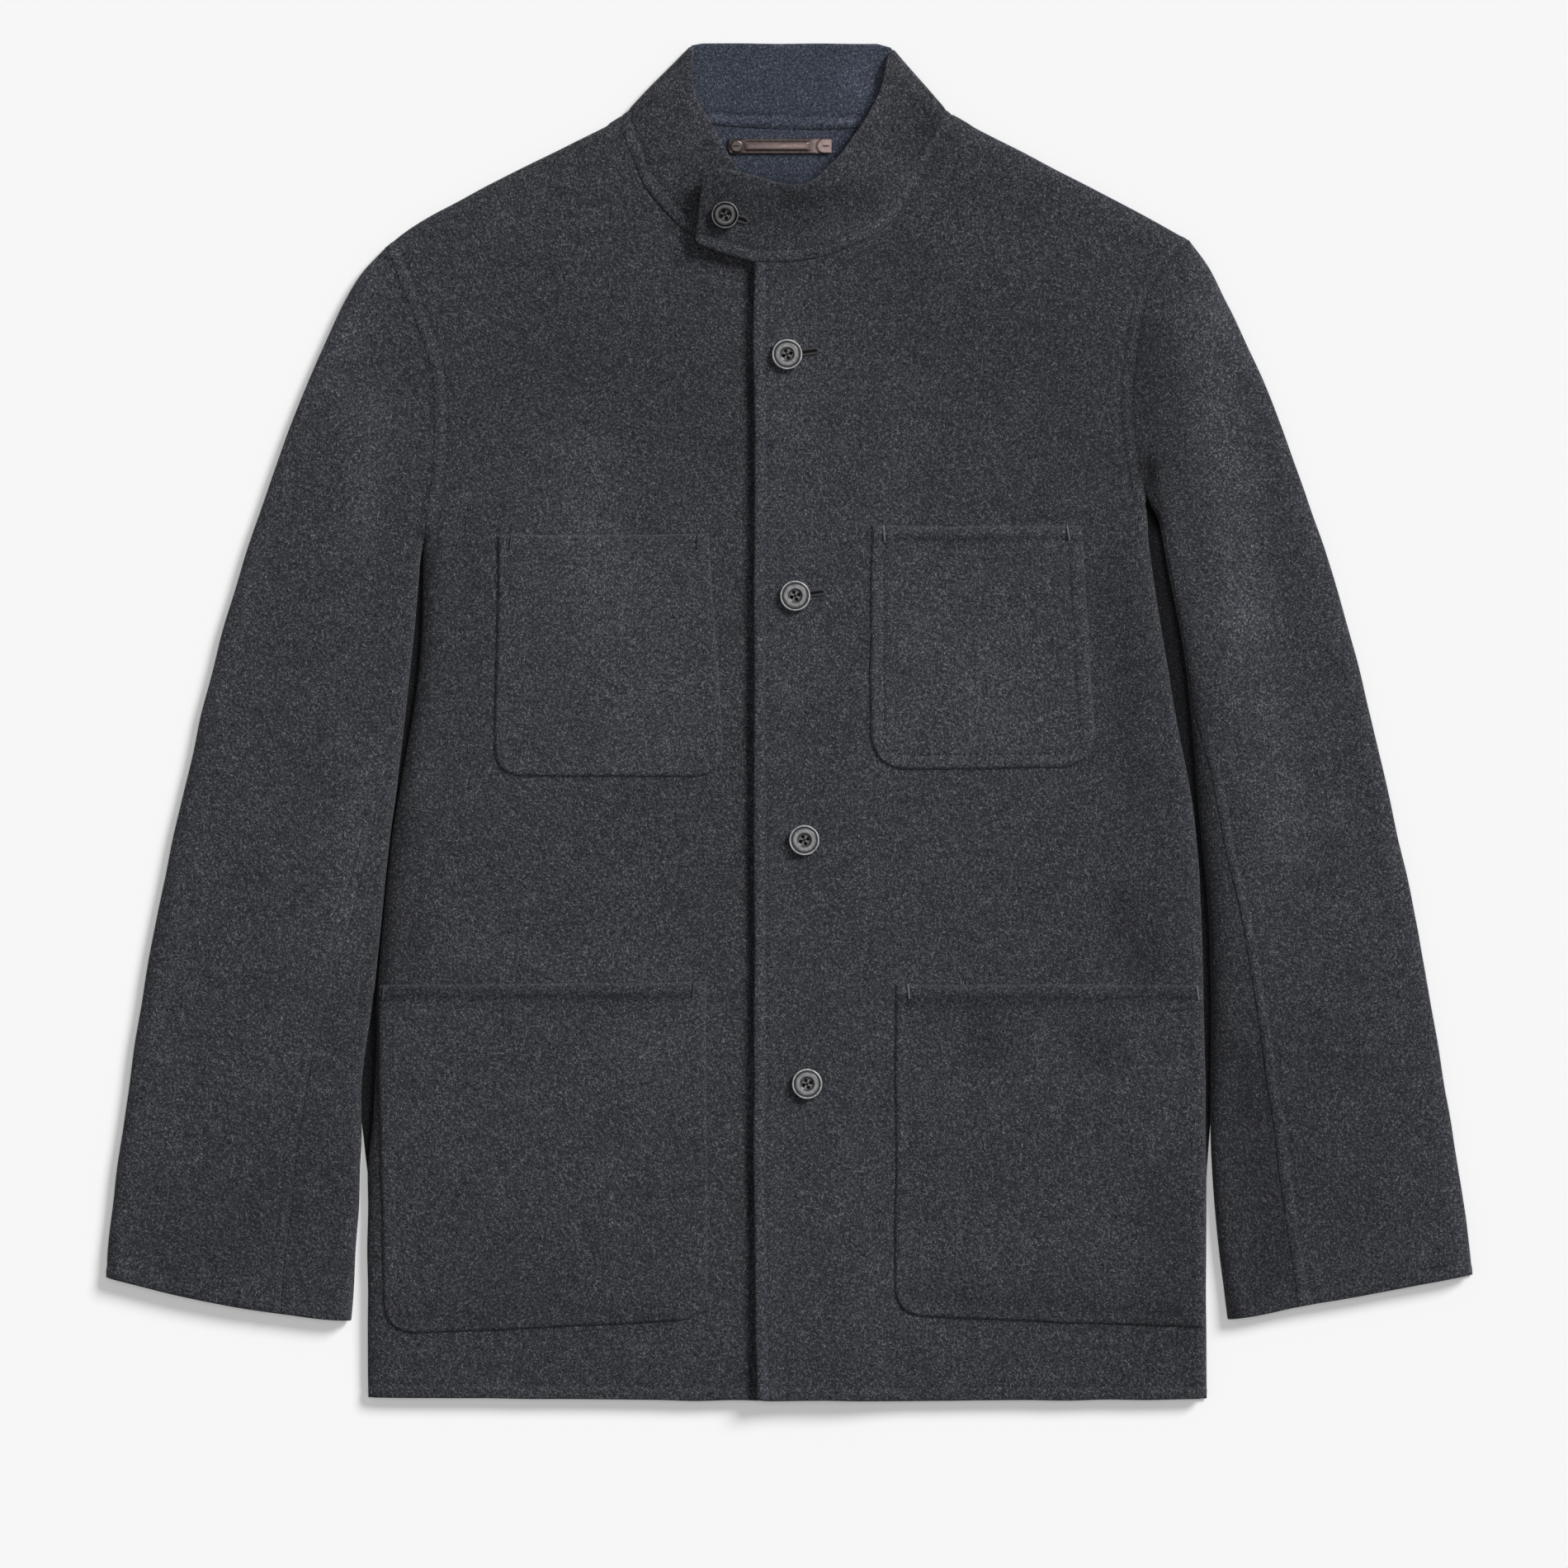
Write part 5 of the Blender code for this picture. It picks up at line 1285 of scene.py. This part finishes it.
class Look:
    """Principled material made of nodes, its constant sockets given by name."""

    def __init__(self, name, **sockets):
        self.made = bpy.data.materials.new(name)
        self.made.use_nodes = True
        self.tree = self.made.node_tree
        self.shader = self.tree.nodes["Principled BSDF"]
        for socket, value in sockets.items():
            self.shader.inputs[socket.replace("_", " ")].default_value = value

    def node(self, kind, links=(), **values):
        """Node with properties and inputs set by name, and inputs linked as (input, output) pairs."""
        made = self.tree.nodes.new("ShaderNode" + kind)
        for name, value in values.items():
            if name in made.bl_rna.properties:
                setattr(made, name, value)
            else:
                made.inputs[name.replace("_", " ")].default_value = value
        for socket, output in links:
            self.tree.links.new(output, made.inputs[socket])
        return made

    def wire(self, socket, output):
        """Let an output drive a socket of the shader."""
        self.tree.links.new(output, self.shader.inputs[socket])

    def place(self):
        """Coordinates on the object."""
        return self.node("TexCoord").outputs["Object"]

    def noise(self, place, **values):
        """Noise over the object."""
        return self.node("TexNoise", [("Vector", place)], **values).outputs["Fac"]

    def streaks(self, place, angle, across, along, shift):
        """Noise drawn out into fibres that run at an angle."""
        mapping = self.node("Mapping", [("Vector", place)], vector_type="TEXTURE",
                            Location=tuple(shift * part for part in STREAK_SHIFT),
                            Rotation=(0.0, 0.0, math.radians(angle)),
                            Scale=(across * MM, along * MM, across * MM))
        return self.noise(mapping.outputs[0], Scale=1.0, Detail=2.5, Roughness=0.6)

    def math(self, operation, first, second):
        """Math on two outputs."""
        return self.node("Math", [(0, first), (1, second)], operation=operation).outputs[0]

    def span(self, value, low, high, to_low=0.0, to_high=1.0):
        """Map a range of a value onto another, clamped."""
        return self.node("MapRange", [("Value", value)], From_Min=low, From_Max=high, To_Min=to_low,
                         To_Max=to_high).outputs["Result"]

    def mixed(self, share, first, second):
        """Colour between two colours, each a constant or an output."""
        made = self.node("Mix", data_type="RGBA")
        for socket, value in ((made.inputs[0], share), (made.inputs[6], first), (made.inputs[7], second)):
            if isinstance(value, tuple):
                socket.default_value = (*value, 1.0)
            else:
                self.tree.links.new(value, socket)
        return made.outputs[2]

    def tone(self):
        """Tone of each place on the mesh, painted light and shade included."""
        return self.node("Attribute", attribute_name="tone").outputs["Fac"]

    def paint(self, colour, tone):
        """Base colour, multiplied by a tone."""
        made = self.node("VectorMath", [(0, colour), (1, tone)], operation="MULTIPLY")
        self.wire("Base Color", made.outputs[0])

    def bump(self, height, strength, distance):
        """Fine relief."""
        made = self.node("Bump", [("Height", height)], Strength=strength, Distance=distance)
        self.wire("Normal", made.outputs["Normal"])


def wool(name, colours):
    """Felted melange wool: light and dark fibres in all directions, soft mottling and a faint nap."""
    look = Look(name, Roughness=0.92, Specular_IOR_Level=0.15, Sheen_Weight=0.12, Sheen_Roughness=0.45,
                Sheen_Tint=(0.80, 0.82, 0.88, 1.0))
    place = look.place()
    fibres = [look.streaks(place, *row, FIBRE_SHIFT * (number + 1)) for number, row in enumerate(FIBRES)]
    lightest = look.math("MAXIMUM", look.math("MAXIMUM", fibres[0], fibres[1]), fibres[2])
    darkest = look.math("MINIMUM", look.math("MINIMUM", fibres[1], fibres[2]), fibres[3])
    light, dark = look.span(lightest, *LIGHT_FIBRES), look.span(darkest, *DARK_FIBRES)
    colour = look.mixed(light, look.mixed(dark, colours["mid"], colours["dark"]), colours["light"])
    mottle = look.span(look.noise(place, Scale=160.0, Detail=3.0, Roughness=0.6), *MOTTLE)
    broad = look.span(look.noise(place, Scale=28.0, Detail=2.0, Roughness=0.5), *BROAD_MOTTLE)
    look.paint(colour, look.math("MULTIPLY", look.math("MULTIPLY", mottle, broad), look.tone()))
    look.bump(look.math("SUBTRACT", light, dark), strength=0.55, distance=0.0004)
    return look.made


def leather(name):
    """Smooth brown leather with fine grain, its colour scaled by a tone that is darker along the grooves and
    holds a painted highlight.
    """
    look = Look(name, Specular_IOR_Level=0.7)
    place = look.place()
    grain = look.node("TexVoronoi", [("Vector", place)], Scale=2600.0)
    cloud = look.noise(place, Scale=420.0, Detail=4.0, Roughness=0.6)
    look.paint(look.mixed(look.span(cloud, *CLOUD), LEATHER_DARK, LEATHER_LIGHT), look.tone())
    look.bump(grain.outputs["Distance"], strength=0.25, distance=0.0002)
    look.wire("Roughness", look.span(cloud, *CLOUD, *SATIN))
    return look.made


def horn(name):
    """Dark satin button material with faint cloudy streaks."""
    look = Look(name, Specular_IOR_Level=0.6)
    place = look.place()
    cloud = look.span(look.streaks(place, *HORN_STREAKS), *HORN_CLOUD)
    fine = look.noise(place, Scale=2400.0, Detail=2.0, Roughness=0.5)
    look.paint(look.mixed(cloud, BUTTON_DARK, BUTTON_LIGHT), look.tone())
    look.bump(fine, strength=0.15, distance=0.0001)
    look.wire("Roughness", look.span(fine, *CLOUD, *SATIN))
    return look.made


def thread(name, colour):
    """Twisted sewing thread."""
    look = Look(name, Roughness=0.8, Specular_IOR_Level=0.2)
    twist = look.streaks(look.place(), *THREAD_STREAKS)
    darker = tuple(THREAD_DARKER * part for part in colour)
    look.wire("Base Color", look.mixed(look.span(twist, *CLOUD), darker, colour))
    look.bump(twist, strength=0.4, distance=0.0002)
    return look.made


def stage():
    """Pale floor, soft light and the camera straight above."""
    white = (1.0, 1.0, 1.0, 1.0)
    look = Look("floor", Roughness=0.9, Specular_IOR_Level=0.0, Emission_Color=white,
                Emission_Strength=FLOOR_GLOW)
    noise = look.node("TexNoise", Scale=3.0, Detail=2.0)
    lighter = tuple(part * FLOOR_LIGHTER for part in FLOOR_COLOUR)
    look.wire("Base Color", look.mixed(noise.outputs["Fac"], FLOOR_COLOUR, lighter))
    half = 0.5 * FLOOR_SIZE
    corners = [(half * x, half * y, -FLOOR_DROP) for x, y in ((-1, -1), (1, -1), (1, 1), (-1, 1))]
    mesh = new_mesh("floor", corners, [(0, 1, 2, 3)])
    mesh.materials.append(look.made)
    floor = linked("floor", mesh)

    scene = bpy.context.scene
    scene.world = bpy.data.worlds.new("studio")
    scene.world.use_nodes = True
    sky = scene.world.node_tree.nodes["Background"].inputs
    sky["Color"].default_value = white
    sky["Strength"].default_value = SKY_STRENGTH
    scene.view_settings.view_transform = "Standard"

    key = bpy.data.lights.new("key", "SUN")
    key.energy = KEY_STRENGTH
    key.angle = math.radians(KEY_ANGLE)
    add_light(key, KEY_HEIGHT, KEY_FROM)
    softbox = bpy.data.lights.new("softbox", "AREA")
    softbox.size = SOFTBOX_SIZE
    softbox.energy = SOFTBOX_POWER
    add_light(softbox, SOFTBOX_HEIGHT, (0.0, 0.0, 1.0))

    data = bpy.data.cameras.new("camera")
    data.sensor_width = SENSOR
    data.lens = SENSOR * CAMERA_HEIGHT / FRAME_WIDTH
    data.clip_end = CAMERA_REACH
    camera = linked("camera", data)
    camera.location = (FRAME_MIDDLE[0] * MM, FRAME_MIDDLE[1] * MM, CAMERA_HEIGHT * MM)
    scene.camera = camera


def add_light(data, height, source):
    """Light above the middle, shining from the direction of its source."""
    light = linked(data.name, data)
    light.location = (0.0, 0.0, height)
    light.rotation_mode = "QUATERNION"
    light.rotation_quaternion = Vector(source).to_track_quat("Z", "Y")


def build():
    """Make every piece and its looks."""
    charcoal, navy = wool("charcoal_wool", CHARCOAL), wool("navy_wool", NAVY)
    outside, inside = [charcoal, navy], [navy, charcoal]
    halves = {side: Side(side) for side in SIGN}
    cloth = {"back": back(halves, inside), "collar": collar(halves, outside)}
    for half in halves.values():
        cloth["front_" + half.side] = front(half, outside)
        cloth["sleeve_%s_top" % half.side] = sleeve_top(half, outside)
        cloth["sleeve_%s_under" % half.side] = sleeve_under(half, outside)
    for name in POCKETS:
        cloth[name] = pocket(name, halves, outside)
    for name, width, length, area, rests_on in CUTS:
        piece = cloth[name]
        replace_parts(piece, name)
    dark_thread, grey_thread = thread("dark_thread", THREAD_DARK), thread("grey_thread", THREAD_GREY)
    wool_thread = thread("wool_thread", WOOL_THREAD)
    # Dark thread for the pick stitches: partly the thread, partly painted shade of the dimples that they pull
    # in the cloth
    joined_piece("pick_stitches", pocket_stitches(halves), dark_thread)
    joined_piece("edge_stitches", front_stitches(halves) + collar_stitches(halves), wool_thread)
    light_tacks = bar_tacks(halves, ("pocket_chest_left", "pocket_hip_left"))
    joined_piece("bar_tacks_light", light_tacks, grey_thread)
    dark_tacks = bar_tacks(halves, ("pocket_chest_right", "pocket_hip_right"))
    joined_piece("bar_tacks_dark", dark_tacks, wool_thread)
    buttonholes(halves, thread("lip_thread", LIP_GREY), thread("slit", SLIT_SHADOW_BLACK))
    buttons(halves, horn("horn"), dark_thread)
    hanger_loop(leather("leather"))
    stage()


build()
